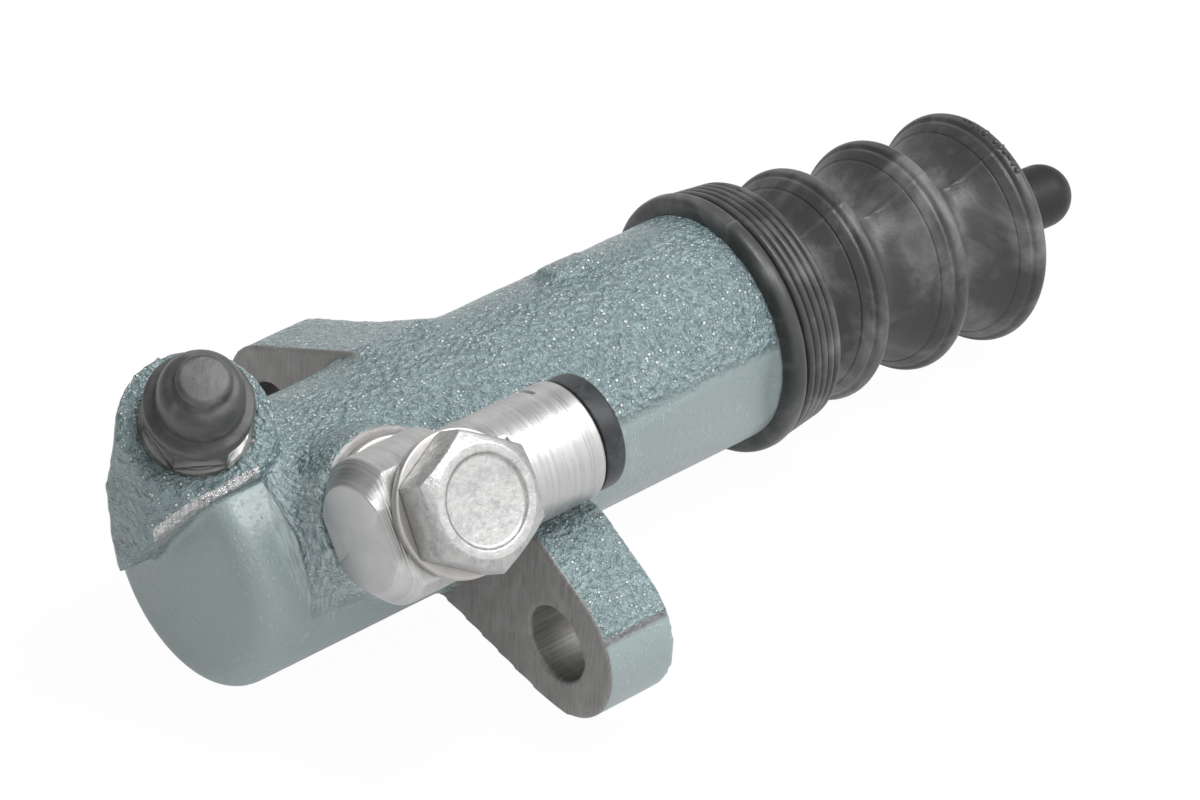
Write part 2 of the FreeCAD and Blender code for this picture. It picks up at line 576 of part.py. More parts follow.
# Piston with its nose, two cup grooves and the socket for the push rod
PISTON = "bore_diameter / 2 - piston_clearance"
CUP_SEAT = "cup_groove_diameter / 2"
BALL = "ball_diameter / 2 + ball_clearance"
piston = new_body("piston")
revolved(piston, "piston_turn", [
    ("0", "0"), ("0", "piston_nose_diameter / 2"),
    ("piston_nose_length", "piston_nose_diameter / 2"), ("piston_nose_length", PISTON),
    ("primary_groove", PISTON), ("primary_groove", CUP_SEAT),
    ("primary_groove + cup_groove_width", CUP_SEAT), ("primary_groove + cup_groove_width", PISTON),
    ("secondary_groove", PISTON), ("secondary_groove", CUP_SEAT),
    ("secondary_groove + cup_groove_width", CUP_SEAT), ("secondary_groove + cup_groove_width", PISTON),
    ("piston_length", PISTON), ("piston_length", "socket_mouth_diameter / 2"),
    ("piston_length - ball_depth", BALL), ("piston_length - ball_depth", "0")])
socket = piston.newObject("PartDesign::SubtractiveSphere", "rod_socket")
bind(socket, Radius=BALL)
socket.setExpression(".Placement.Base.x", linked("piston_length - ball_depth"))
PISTON_FRONT = "(mouth_reach - piston_setback - piston_length)"
place(piston, PISTON_FRONT)
doc.recompute()

# Cups: rubber rings in the piston's grooves, hollow between their lips on the fluid side
for label, groove in (("primary_cup", "primary_groove"), ("secondary_cup", "secondary_groove")):
    cup = new_body(label)
    rim = "bore_diameter / 2 - cup_clearance"
    revolved(cup, label + "_turn", [
        ("0", CUP_SEAT), ("0", f"{CUP_SEAT} + cup_edge"),
        ("cup_lip", f"({CUP_SEAT} + {rim}) / 2"), ("0", f"{rim} - cup_edge"), ("0", rim),
        ("cup_groove_width", rim), ("cup_groove_width", CUP_SEAT)])
    place(cup, f"{PISTON_FRONT} + {groove}")

# Push rod with a ball end, a neck and a rounded tip; free, it hangs a little below the bore axis
rod = new_body("push_rod")
revolved(rod, "rod_turn", [
    ("0", "0"), ("0", "rod_neck_diameter / 2"), ("ball_diameter", "rod_neck_diameter / 2"),
    ("ball_diameter + rod_diameter / 4", "rod_diameter / 2"), ("rod_length", "rod_diameter / 2"),
    ("rod_length", "0")])
for name, radius, along in (("rod_ball", "ball_diameter / 2", "0"),
                            ("rod_tip", "rod_diameter / 2", "rod_length")):
    knob = rod.newObject("PartDesign::AdditiveSphere", name)
    bind(knob, Radius=radius)
    knob.setExpression(".Placement.Base.x", linked(along))
    doc.recompute()
BALL_REACH = "(mouth_reach - piston_setback - ball_depth)"
place(rod, BALL_REACH, azimuth="-rod_swing", elevation="-rod_droop")

# Wire stop ring in the mouth of the bore, open at one side
ring = new_body("stop_ring")
WIRE = "(stop_groove_diameter - stop_wire) / 2"
wire_section = new_sketch(ring, "stop_ring_section")
polygon(wire_section, [(f"stop_wire / 2 * cos({60 * step + 30} deg)",
                        f"{WIRE} + stop_wire / 2 * sin({60 * step + 30} deg)") for step in range(6)])
wire_turn = ring.newObject("PartDesign::Revolution", "stop_ring_turn")
wire_turn.Profile = wire_section
wire_turn.ReferenceAxis = (wire_section, ["H_Axis"])
bind(wire_turn, Angle="360 - stop_gap")
place(ring, "mouth_reach - piston_setback + stop_wire / 2")
doc.recompute()


def coil(label, wire, first, last, height, turns):
    """A coil spring up its own Z: straight lengths of six-sided wire with mitred joints."""
    steps = round(turns * size("spring_steps"))
    path = []
    for step in range(steps + 1):
        share = step / steps
        radius = first + (last - first) * share
        turn = 2 * math.pi * turns * share
        path.append(Vector(radius * math.cos(turn), radius * math.sin(turn), height * share))
    ways = [path[step + 1].sub(path[step]).normalize() for step in range(steps)]
    side = Vector(1, 0, 0)
    across = ways[0].cross(side).normalize()
    side = across.cross(ways[0]).normalize()
    section = [path[0].add(side * (wire / 2 * math.cos(math.radians(60 * corner))))
               .add(across * (wire / 2 * math.sin(math.radians(60 * corner)))) for corner in range(6)]
    faces = [Part.Face(Part.makePolygon(section + section[:1]))]
    for step in range(steps):
        mitre = ways[step].add(ways[step + 1]).normalize() if step + 1 < steps else ways[step]
        following = [spot.add(ways[step] * (path[step + 1].sub(spot).dot(mitre) / ways[step].dot(mitre)))
                     for spot in section]
        for corner in range(6):
            other = (corner + 1) % 6
            faces.append(Part.Face(Part.makePolygon([
                section[corner], section[other], following[other], following[corner],
                section[corner]])))
        section = following
    faces.append(Part.Face(Part.makePolygon(section + section[:1])))
    spring = doc.addObject("Part::Feature", label)
    spring.Shape = Part.Solid(Part.Shell(faces))
    return spring


return_spring = coil("conical_spring", size("spring_wire"),
                     (size("spring_large_diameter") - size("spring_wire")) / 2,
                     (size("spring_small_diameter") - size("spring_wire")) / 2,
                     size("bore_floor_reach") + size("mouth_reach") - size("piston_setback")
                     - size("piston_length") + size("piston_nose_length") - size("spring_wire"),
                     size("spring_turns"))
place(return_spring, "-bore_floor_reach + spring_wire / 2", elevation="-90")

# Inlet valve under the union bolt: a plate with an orifice, held up by a small spring
BOLT_FOOT = "(port_face_height + 2 * gasket_thickness + union_eye_thickness - bolt_shank)"
PLATE_BASE = f"({BOLT_FOOT} - valve_plate_thickness)"
valve_spring = coil("valve_spring", size("valve_spring_wire"),
                    (size("valve_spring_diameter") - size("valve_spring_wire")) / 2,
                    (size("valve_spring_diameter") - size("valve_spring_wire")) / 2,
                    size("port_face_height") + 2 * size("gasket_thickness")
                    + size("union_eye_thickness") - size("bolt_shank")
                    - size("valve_plate_thickness") - size("port_floor_height")
                    - size("valve_spring_wire"), size("valve_spring_turns"))


def along_port(thing, height, elevation="port_elevation"):
    """Puts a piece at a height above the bore axis along the port, its X axis outwards."""
    place(thing, "-port_reach", f"-({height}) * cos(port_elevation * 1 deg)",
          f"({height}) * sin(port_elevation * 1 deg)", "-90", elevation)


def washer(label, inner, outer, thickness):
    disc = new_body(label)
    revolved(disc, label + "_turn", [("0", inner), ("0", outer), (thickness, outer), (thickness, inner)])
    return disc


along_port(valve_spring, "port_floor_height + valve_spring_wire / 2", "port_elevation - 90")
along_port(washer("valve_plate", "valve_plate_orifice / 2", "valve_plate_diameter / 2",
                  "valve_plate_thickness"), PLATE_BASE)
UPPER_FACE = "port_face_height + gasket_thickness + union_eye_thickness"
for label, height in (("lower_gasket", "port_face_height"), ("upper_gasket", UPPER_FACE)):
    along_port(washer(label, "gasket_bore / 2", "gasket_diameter / 2", "gasket_thickness"), height)

# Union bolt: a hollow screw whose cross drilling meets the union's eye
bolt = new_body("union_bolt")
revolved(bolt, "bolt_turn", [("0", "0"), ("0", "port_thread_diameter / 2 - port_thread_gap"),
                             ("bolt_shank + bolt_head_height / 2",
                              "port_thread_diameter / 2 - port_thread_gap"),
                             ("bolt_shank + bolt_head_height / 2", "0")])
hexagon(bolt, "bolt_head", "bolt_shank", "bolt_head_width", "bolt_head_height", "bolt_head_turn")
TOP = "(bolt_shank + bolt_head_height)"
bored(bolt, "bolt_head_chamfer", [
    (TOP, "bolt_head_width / 2 - bolt_head_chamfer"), (TOP, "bolt_head_width"),
    (f"{TOP} - (bolt_head_width / 2 + bolt_head_chamfer) * tan(30 deg)", "bolt_head_width")])
bored(bolt, "bolt_head_recess", [
    (f"{TOP} - bolt_recess_depth", "0"), (f"{TOP} - bolt_recess_depth", "bolt_recess_diameter / 2"),
    (TOP, "bolt_recess_diameter / 2"), (TOP, "0")])
MIDDLE = "(bolt_shank - gasket_thickness - union_eye_thickness / 2)"
bored(bolt, "bolt_drilling", [("0", "0"), ("0", "bolt_bore / 2"),
                              (f"{MIDDLE} + bolt_cross_drill", "bolt_bore / 2"),
                              (f"{MIDDLE} + bolt_cross_drill", "0")])
cross = bolt.newObject("PartDesign::SubtractiveCylinder", "bolt_cross_drilling")
bind(cross, Radius="bolt_cross_drill / 2", Height="bolt_head_width")
cross.setExpression("Placement", linked(
    f"placement(vector({MIDDLE}; 0; -bolt_head_width / 2); rotation(0; 0; 0))"))
along_port(bolt, BOLT_FOOT)
doc.recompute()

# Hose union: a turned bar with a thick flatted eye round the bolt and a tapped open end
EYE = "union_eye_diameter / 2"
END = "(union_eye_reach + union_end_reach)"
union_turn = new_body("union_turn")
revolved(union_turn, "union_bar", [
    ("0", "0"), ("0", f"{EYE} - union_end_chamfer"), ("union_end_chamfer", EYE),
    ("union_eye_reach + union_eye_front", EYE),
    ("union_eye_reach + union_eye_front", "union_diameter / 2"),
    (f"{END} - union_mouth_chamfer", "union_diameter / 2"),
    (END, "union_diameter / 2 - union_mouth_chamfer"), (END, "0")])
bored(union_turn, "union_passage", [
    ("union_eye_reach", "0"), ("union_eye_reach", "union_drill / 2"),
    (f"{END} - union_bore_depth", "union_drill / 2"),
    (f"{END} - union_bore_depth", "union_bore_diameter / 2"),
    (END, "union_bore_diameter / 2"), (END, "0")])
UNION_HEIGHT = "(port_face_height + gasket_thickness + union_eye_thickness / 2)"


def beside_union(reach):
    """Expressions of a point on the union's own axis, which runs parallel to the bore."""
    return (reach, f"-{UNION_HEIGHT} * cos(port_elevation * 1 deg)",
            f"{UNION_HEIGHT} * sin(port_elevation * 1 deg)")


on_axis(union_turn, *beside_union("-port_reach - union_eye_reach"))
eye_cuts = []
for name, height in (("eye_flat_below", f"{UNION_HEIGHT} - union_eye_thickness / 2 - {EYE}"),
                     ("eye_flat_above", f"{UNION_HEIGHT} + union_eye_thickness / 2")):
    slab = cylinder(name, "union_eye_diameter", EYE)
    on_axis(slab, "-port_reach", f"-({height}) * cos(port_elevation * 1 deg)",
            f"({height}) * sin(port_elevation * 1 deg)", **PORT)
    eye_cuts.append(slab)
eye_hole = cylinder("eye_hole", "union_eye_hole / 2", f"{UNION_HEIGHT} + union_eye_diameter")
on_axis(eye_hole, "-port_reach", **PORT)
eye_tools = doc.addObject("Part::MultiFuse", "eye_tools")
eye_tools.Shapes = eye_cuts + [eye_hole]
union = doc.addObject("Part::Cut", "hose_union")
union.Base = union_turn
union.Tool = eye_tools
place(union)
doc.recompute()

# Rubber plug in the open hose port
plug = new_body("port_plug")
revolved(plug, "plug_turn", [
    ("0", "0"), ("0", "plug_stem_diameter / 2"), ("plug_stem_length", "plug_stem_diameter / 2"),
    ("plug_stem_length", "plug_diameter / 2"), ("plug_stem_length + plug_head", "plug_diameter / 2"),
    ("plug_stem_length + plug_head", "0")])
place(plug, *beside_union("-port_reach + union_end_reach - plug_stem_length + plug_clearance"))

# Bleeder screw: a conical nose, a thread, a hexagon and a hose nipple
NOSE = "bleeder_thread_depth + bleeder_seat_length - 2 * screw_clearance"
HEX_FOOT = "(bleeder_thread_depth + bleeder_seat_length - bleeder_recess_depth + screw_lift)"
screw = new_body("bleeder_screw")
revolved(screw, "screw_turn", [
    ("0", "0"), ("0", "bleeder_drill / 2 - screw_clearance"),
    ("bleeder_seat_length", "bleeder_thread_diameter / 2 - screw_clearance"),
    (f"{HEX_FOOT} + screw_hex_height / 2", "bleeder_thread_diameter / 2 - screw_clearance"),
    (f"{HEX_FOOT} + screw_hex_height / 2", "screw_neck_diameter / 2"),
    (f"{HEX_FOOT} + screw_hex_height + screw_neck_length", "screw_neck_diameter / 2"),
    (f"{HEX_FOOT} + screw_hex_height + screw_bead_height", "screw_nipple_diameter / 2"),
    (f"{HEX_FOOT} + screw_hex_height + screw_nipple_length", "screw_neck_diameter / 2"),
    (f"{HEX_FOOT} + screw_hex_height + screw_nipple_length", "0")])
hexagon(screw, "screw_hexagon", HEX_FOOT, "screw_hex", "screw_hex_height")
bored(screw, "screw_drilling", [
    ("bleeder_seat_length", "0"), ("bleeder_seat_length", "screw_bore / 2"),
    (f"{HEX_FOOT} + screw_hex_height + screw_nipple_length", "screw_bore / 2"),
    (f"{HEX_FOOT} + screw_hex_height + screw_nipple_length", "0")])
place(screw, *down_bleeder(NOSE), **BLEEDER)
doc.recompute()

# Rubber cap over the bleeder's nipple
CAP_FOOT = "-(screw_lift + screw_hex_height - bleeder_recess_depth + cap_lift)"
cap = new_body("bleeder_cap")
revolved(cap, "cap_turn", [
    ("0", "screw_nipple_diameter / 2 + cap_clearance"), ("0", "cap_flange_diameter / 2"),
    ("cap_flange_height", "cap_flange_diameter / 2"), ("cap_flange_height", "cap_body_diameter / 2"),
    ("cap_height - cap_button_height", "cap_body_diameter / 2"),
    ("cap_height - cap_button_height", "cap_button_diameter / 2"),
    ("cap_height", "cap_button_diameter / 2"), ("cap_height", "0"),
    ("screw_nipple_length + cap_clearance", "0"),
    ("screw_nipple_length + cap_clearance", "screw_nipple_diameter / 2 + cap_clearance")])
place(cap, *down_bleeder(CAP_FOOT), **BLEEDER)
doc.recompute()

# Rubber boot: a ribbed collar on the barrel and bellows that hang toward the rod's tip
collar = new_body("boot_collar")
COLLAR = "(barrel_diameter / 2 + boot_collar_wall)"
RIB = f"({COLLAR} + boot_rib_height)"
BEAD = "(boot_overlap - boot_bead_setback)"
MOUTH = "boot_overlap"
FRONT = f"{MOUTH} + boot_front_thickness + boot_wall"
BELLOWS_BORE = "boot_valley_diameter / 2 - boot_wall / 2"
outline_corners = [("0", BARREL), ("0", COLLAR)]
for rib in range(3):
    foot = f"boot_rib_pitch * {rib + 1} - boot_rib_width"
    taper = f"boot_rib_taper * {rib}"
    outline_corners += [
        (foot, f"{COLLAR} - {taper}"), (f"{foot} + boot_rib_width / 4", f"{RIB} - {taper}"),
        (f"{foot} + boot_rib_width * 3 / 4", f"{RIB} - {taper}"),
        (f"{foot} + boot_rib_width", f"{COLLAR} - {taper} - boot_rib_taper")]
outline_corners += [
    (FRONT, f"{COLLAR} - boot_rib_taper * 3"), (FRONT, BELLOWS_BORE), (MOUTH, BELLOWS_BORE),
    (MOUTH, BARREL), (f"{BEAD} + boot_bead_width / 2", BARREL),
    (f"{BEAD} + boot_bead_width / 2", f"{BARREL} - boot_bead_depth"),
    (f"{BEAD} - boot_bead_width / 2", f"{BARREL} - boot_bead_depth"),
    (f"{BEAD} - boot_bead_width / 2", BARREL)]
revolved(collar, "collar_turn", outline_corners)
on_axis(collar, "mouth_reach - boot_overlap")
doc.recompute()


def hang(angle):
    """Direction of the bellows from their bend to the rod at the lip, for one angle of the rod."""
    lip = "(boot_lip_reach - boot_lip_length / 2)"
    from_ball = f"(mouth_reach + boot_bend + {lip} - {BALL_REACH})"
    return f"(atan({from_ball} * tan({angle} * 1 deg) / {lip}) / 1 deg)"


def bellows(name, inset, band, bore):
    """The bellows' outer form with a band on each crest and valley, or their plainer hollow."""
    form = new_body(name)
    crest = f"boot_crest_diameter / 2 - {inset}"
    valley = f"boot_valley_diameter / 2 - {inset}"
    corners = [("0", "0"), ("0", valley), (f"boot_run_in + {inset}", valley)]
    for fold in range(3):
        middle = f"boot_run_in + {inset} * 2 / 3 + boot_first_crest + boot_pitch * {fold}"
        behind = f"{middle} + boot_valley_back"
        if band:
            corners += [(f"{middle} - boot_crest_width / 2", crest),
                        (f"{middle} + boot_crest_width / 2", crest)]
        else:
            corners.append((middle, crest))
        if fold < 2 and band:
            corners += [(behind, valley), (f"{behind} + boot_valley_width", valley)]
        elif fold < 2:
            corners.append((f"{behind} + boot_valley_width / 2", valley))
    end = f"boot_run_in + {inset} + boot_lip_reach"
    corners += [(f"{end} - boot_lip_length - {inset}", bore), (f"{end} + {inset}", bore),
                (f"{end} + {inset}", "0")]
    revolved(form, name + "_turn", corners)
    droop = hang("rod_droop")
    swing = hang("rod_swing")
    back = f"(boot_run_in + {inset})"
    on_axis(form, f"mouth_reach + boot_bend - {back} * cos({droop} * 1 deg)",
            f"{back} * sin({swing} * 1 deg)", f"{back} * sin({droop} * 1 deg)", f"-{swing}", f"-{droop}")
    return form


outer = bellows("bellows_outer", "0", True, "boot_lip_diameter / 2")
inner = bellows("bellows_inner", "boot_wall", False, "rod_diameter / 2 + boot_lip_clearance")
doc.recompute()
boot_skin = doc.addObject("Part::Fuse", "boot_skin")
boot_skin.Base = collar
boot_skin.Tool = outer
boot = doc.addObject("Part::Cut", "dust_boot")
boot.Base = boot_skin
boot.Tool = inner
place(boot)
doc.recompute()

PARTS = ["cylinder_body", "piston", "primary_cup", "secondary_cup", "conical_spring", "stop_ring",
         "push_rod", "dust_boot", "hose_union", "union_bolt", "upper_gasket", "lower_gasket",
         "valve_plate", "valve_spring", "port_plug", "bleeder_screw", "bleeder_cap"]
os.makedirs("parts", exist_ok=True)
doc.recompute()
for thing in doc.Objects:
    if "Invalid" in thing.State or "Error" in thing.State:
        raise RuntimeError(f"{thing.Label} failed: {thing.State}")
for label in PARTS:
    piece = doc.getObjectsByLabel(label)[0]
    if piece.Shape.isNull() or not piece.Shape.isValid():
        raise RuntimeError(f"{label} has no valid shape")
for label in PARTS:
    doc.getObjectsByLabel(label)[0].Shape.exportStep(f"parts/{label}.step")
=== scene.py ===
import math

import bmesh
import bpy
import numpy as np
from bpy.props import (
    FloatProperty,
    FloatVectorProperty,
    IntProperty,
    PointerProperty,
)
from mathutils import Matrix, Vector, noise
from mathutils.bvhtree import BVHTree


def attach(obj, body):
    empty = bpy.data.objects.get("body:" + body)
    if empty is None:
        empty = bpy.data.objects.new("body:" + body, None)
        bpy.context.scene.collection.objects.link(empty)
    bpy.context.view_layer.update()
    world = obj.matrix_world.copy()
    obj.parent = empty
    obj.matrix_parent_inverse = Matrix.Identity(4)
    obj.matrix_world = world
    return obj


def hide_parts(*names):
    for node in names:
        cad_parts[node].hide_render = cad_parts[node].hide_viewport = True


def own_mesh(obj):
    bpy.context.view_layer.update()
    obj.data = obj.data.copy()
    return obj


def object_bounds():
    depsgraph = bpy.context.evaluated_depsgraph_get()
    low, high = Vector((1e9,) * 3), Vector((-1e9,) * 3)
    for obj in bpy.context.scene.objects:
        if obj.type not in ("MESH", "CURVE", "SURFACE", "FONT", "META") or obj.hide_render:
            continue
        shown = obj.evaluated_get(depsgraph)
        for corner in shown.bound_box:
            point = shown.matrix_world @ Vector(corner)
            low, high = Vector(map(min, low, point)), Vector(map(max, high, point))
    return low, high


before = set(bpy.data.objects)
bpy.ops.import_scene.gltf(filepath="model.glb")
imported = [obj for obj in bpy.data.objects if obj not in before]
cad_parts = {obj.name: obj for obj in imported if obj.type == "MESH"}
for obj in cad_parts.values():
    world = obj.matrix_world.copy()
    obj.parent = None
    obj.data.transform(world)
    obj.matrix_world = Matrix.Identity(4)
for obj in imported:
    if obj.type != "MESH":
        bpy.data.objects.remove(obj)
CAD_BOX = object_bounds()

bl_info = {
    "name": "Clutch Slave Cylinder",
    "version": (1, 0, 0),
    "blender": (4, 5, 0),
    "location": "View3D > Sidebar > Cylinder",
    "description": "Dresses the packed cylinder in its cast, turned and rubber finishes",
    "category": "Object",
}

# Places in the frame of the part, in metres: the bore axis, the port and the bleeder
BORE_AXIS = Vector((0.0, 0.004, 0.005))
FORWARD = Vector((1.0, 0.0, 0.0))
BORE_DEPTH = -0.024
MOUTH = 0.052
BARREL = 0.014
EAR_HOLES = (-0.025, 0.025)
PORT = Vector((-0.0125, 0.004, 0.005))
PORT_DIRECTION = Vector((0.0, -math.cos(math.radians(36.0)), math.sin(math.radians(36.0))))
PORT_SEAT = 0.0192
UNION = Vector((0.0, PORT.y, PORT.z)) + PORT_DIRECTION * 0.0259
BLEEDER = Vector((-0.0258, 0.0066, 0.0232))
BLEEDER_DIRECTION = Vector((-0.248487, -0.430392, 0.867766))
# The boss's smooth ledge leans toward -Y, below a ridge that was ground
LEDGE_FOOT = Vector((0.0, 0.0086, 0.005))
LEDGE_DIRECTION = Vector((0.0, -0.8211, -0.5707))
LEDGE_END = -0.0222
GRIND_WIDTH = 0.0012
# Radii and depths that the cutters leave bare, each a little over its own hole or face
BORE_CUT = 0.0107
EAR_HOLE_CUT = 0.0048
PORT_FACE_CUT = 0.0092
PORT_HOLE_CUT = 0.0053
BLEEDER_FACE_CUT = 0.0064
BLEEDER_HOLE_CUT = 0.0043
BLEEDER_HOLE_DEPTH = 0.013
FACE_DEPTH = 0.0014
# Half sizes and place of the wall behind the bleeder's hole, across, outward and along it
BACK_WALL_SIZES = (0.0033, 0.00145, 0.0028)
BACK_WALL_OUT = 0.0032
BACK_WALL_DEPTH = 0.0097
# The free rod hangs a little below the bore axis, and the bellows hang to meet it
BEND = Vector((0.054, 0.004, 0.005))
BELLOWS_DROOP = math.radians(5.34)
BELLOWS_SWING = math.radians(0.956)
BELLOWS_DIRECTION = Vector((math.cos(BELLOWS_SWING) * math.cos(BELLOWS_DROOP),
                            -math.sin(BELLOWS_SWING) * math.cos(BELLOWS_DROOP),
                            -math.sin(BELLOWS_DROOP)))
BELLOWS_CRESTS = (9.0, 21.9, 34.8)
# Moulding seams of the boot, as angles from +Y
COLLAR_SEAM = math.radians(98.0)
BELLOWS_SEAM = math.radians(105.0)
# Profiles of turned and moulded pieces are written in millimetres
MM = 0.001
# Each lamp's name, direction, share of the power and width
LAMPS = (("key", (0.38, -0.85, 0.60), 0.66, 1.25),
         ("side", (0.52, -0.45, 0.72), 0.19, 0.22),
         ("top", (0.09, -0.21, 0.97), 0.32, 0.18),
         ("fill", (-0.9, -0.35, 0.35), 0.05, 0.40),
         ("rim", (0.35, 0.9, 0.5), 0.05, 0.35))
LAMP_DISTANCE = 0.55
# The camera's place and its own three ways, found from the photo
CAMERA = Vector((-0.31377, -0.36367, 0.38984))
CAMERA_RIGHT = Vector((0.75667, -0.65143, 0.05550))
CAMERA_UP = Vector((0.36551, 0.49188, 0.79023))
CAMERA_BACK = Vector((-0.54208, -0.57765, 0.61029))


def feed(tree, node, inputs):
    """Links or sets a node's inputs."""
    for key, value in inputs.items():
        if isinstance(value, bpy.types.NodeSocket):
            tree.links.new(value, node.inputs[key])
        else:
            node.inputs[key].default_value = value


def add(tree, kind, inputs=None, **settings):
    """Adds a node, with its settings and its inputs filled or linked."""
    made = tree.nodes.new(kind)
    for key, value in settings.items():
        setattr(made, key, value)
    feed(tree, made, inputs or {})
    return made


def calc(tree, operation, *values):
    """The result of a Math node."""
    return add(tree, "ShaderNodeMath", dict(enumerate(values)), operation=operation).outputs[0]


def product(tree, first, second):
    return calc(tree, "MULTIPLY", first, second)


def total(tree, first, second):
    return calc(tree, "ADD", first, second)


def mapped(tree, value, low, high, first=0.0, last=1.0, smooth=False):
    """A value turned from one range to another, clamped: first at low, last at high."""
    return add(tree, "ShaderNodeMapRange", {0: value, 1: low, 2: high, 3: first, 4: last},
               interpolation_type="SMOOTHSTEP" if smooth else "LINEAR").outputs[0]


def vectors(tree, operation, first, second):
    """A Vector Math node with two inputs."""
    return add(tree, "ShaderNodeVectorMath", {0: first, 1: second}, operation=operation)


def blank_group(name, inputs, outputs):
    """An empty shader group with named number inputs and outputs."""
    tree = bpy.data.node_groups.new(name, "ShaderNodeTree")
    for label, default in inputs:
        socket = tree.interface.new_socket(label, in_out="INPUT", socket_type="NodeSocketFloat")
        socket.default_value = default
    for label in outputs:
        tree.interface.new_socket(label, in_out="OUTPUT", socket_type="NodeSocketFloat")
    return tree, add(tree, "NodeGroupInput").outputs, add(tree, "NodeGroupOutput").inputs


def object_place(tree):
    return add(tree, "ShaderNodeTexCoord").outputs["Object"]


def cast_grain_group():
    """Skin of a sand casting under paint: gentle lumps, round nodules and a mask of their tops."""
    inputs = (("Lump Scale", 1200.0), ("Lump Share", 1.7),
              ("Nodule Scale", 1850.0), ("Nodule Share", 0.75))
    tree, given, result = blank_group("cast_grain", inputs, ("Height", "Tops", "Lumps"))
    place = object_place(tree)
    lumps = add(tree, "ShaderNodeTexNoise", {"Vector": place, "Scale": given["Lump Scale"],
                                             "Detail": 2.5, "Roughness": 0.55}).outputs["Fac"]
    cells = add(tree, "ShaderNodeTexVoronoi", {"Vector": place, "Scale": given["Nodule Scale"],
                                               "Randomness": 1.0}).outputs
    some = add(tree, "ShaderNodeSeparateColor", {0: cells["Color"]})
    size = mapped(tree, some.outputs["Red"], 0.12, 1.0, 0.0, 0.50)
    nodules = mapped(tree, calc(tree, "SUBTRACT", size, cells["Distance"]), 0.0, 0.20, smooth=True)
    scaled = product(tree, nodules, given["Nodule Share"])
    both = calc(tree, "MULTIPLY_ADD", lumps, given["Lump Share"], scaled)
    tree.links.new(both, result["Height"])
    tree.links.new(nodules, result["Tops"])
    tree.links.new(lumps, result["Lumps"])
    return tree


def smudge_group():
    """Soft uneven patches, such as handling marks and dust."""
    inputs = (("Scale", 90.0), ("Low", 0.45), ("High", 0.65))
    tree, given, result = blank_group("smudges", inputs, ("Mask",))
    cloud = add(tree, "ShaderNodeTexNoise", {"Vector": object_place(tree), "Scale": given["Scale"],
                                             "Detail": 5.0, "Roughness": 0.62, "Distortion": 0.6})
    mask = mapped(tree, cloud.outputs["Fac"], given["Low"], given["High"], smooth=True)
    tree.links.new(mask, result["Mask"])
    return tree


def line_noise(tree, place, result, detail, roughness):
    """Noise that its place draws out to lines, given out as a height and a mask."""
    lines = add(tree, "ShaderNodeTexNoise", {"Vector": place, "Scale": 1.0, "Detail": detail,
                                             "Roughness": roughness}).outputs["Fac"]
    tree.links.new(lines, result["Height"])
    tree.links.new(mapped(tree, lines, 0.35, 0.65), result["Mask"])


def tool_mark_group():
    """Fine parallel marks of a tool: noise drawn out along two axes and packed along the third."""
    inputs = (("Along X", 30.0), ("Along Y", 30.0), ("Along Z", 30.0))
    tree, given, result = blank_group("tool_marks", inputs, ("Height", "Mask"))
    stretch = add(tree, "ShaderNodeCombineXYZ", {axis: given[axis] for axis in range(3)})
    drawn = vectors(tree, "MULTIPLY", object_place(tree), stretch.outputs[0])
    line_noise(tree, drawn.outputs[0], result, 4.0, 0.7)
    return tree


def ring_group():
    """Turned rings round an axis of any direction through a point: a height by distance along it."""
    tree = bpy.data.node_groups.new("turned_rings", "ShaderNodeTree")
    for label, kind in (("Point", "NodeSocketVector"), ("Axis", "NodeSocketVector"),
                        ("Rings Along", "NodeSocketFloat"), ("Rings Across", "NodeSocketFloat")):
        tree.interface.new_socket(label, in_out="INPUT", socket_type=kind)
    for label in ("Height", "Mask"):
        tree.interface.new_socket(label, in_out="OUTPUT", socket_type="NodeSocketFloat")
    given = add(tree, "NodeGroupInput").outputs
    result = add(tree, "NodeGroupOutput").inputs
    offset = vectors(tree, "SUBTRACT", object_place(tree), given["Point"]).outputs[0]
    along = vectors(tree, "DOT_PRODUCT", offset, given["Axis"]).outputs["Value"]
    foot = add(tree, "ShaderNodeVectorMath", {0: given["Axis"], "Scale": along}, operation="SCALE")
    across = vectors(tree, "DISTANCE", offset, foot.outputs[0]).outputs["Value"]
    spot = add(tree, "ShaderNodeCombineXYZ", {0: product(tree, along, given["Rings Along"]),
                                              1: product(tree, across, given["Rings Across"])})
    line_noise(tree, spot.outputs[0], result, 3.0, 0.65)
    return tree


def use(tree, group, **inputs):
    """Places a shader group in a material, with its own values."""
    made = tree.nodes.new("ShaderNodeGroup")
    made.node_tree = group
    for key, value in inputs.items():
        made.inputs[key.replace("_", " ")].default_value = value
    return made.outputs


def blank_material(name):
    """A material with nothing in it but its output and one Principled shader."""
    material = bpy.data.materials.new(name)
    material.use_nodes = True
    tree = material.node_tree
    tree.nodes.clear()
    shader = add(tree, "ShaderNodeBsdfPrincipled")
    add(tree, "ShaderNodeOutputMaterial", {"Surface": shader.outputs[0]})
    return material, tree, shader


def blend_colours(tree, mask, first, second):
    """The colour socket of a blend between two colours or colour sockets."""
    return add(tree, "ShaderNodeMix", {0: mask, 6: first, 7: second}, data_type="RGBA").outputs[2]


def bump(tree, shader, height, strength, depth):
    """Feeds a height to the shader's normal."""
    made = add(tree, "ShaderNodeBump", {"Height": height, "Strength": strength, "Distance": depth})
    tree.links.new(made.outputs[0], shader.inputs["Normal"])


def opaque(colour):
    return (*colour, 1.0)


def attribute(tree, name):
    """A value that the casting's mesh carries at each vertex."""
    return add(tree, "ShaderNodeAttribute", attribute_name=name).outputs["Fac"]


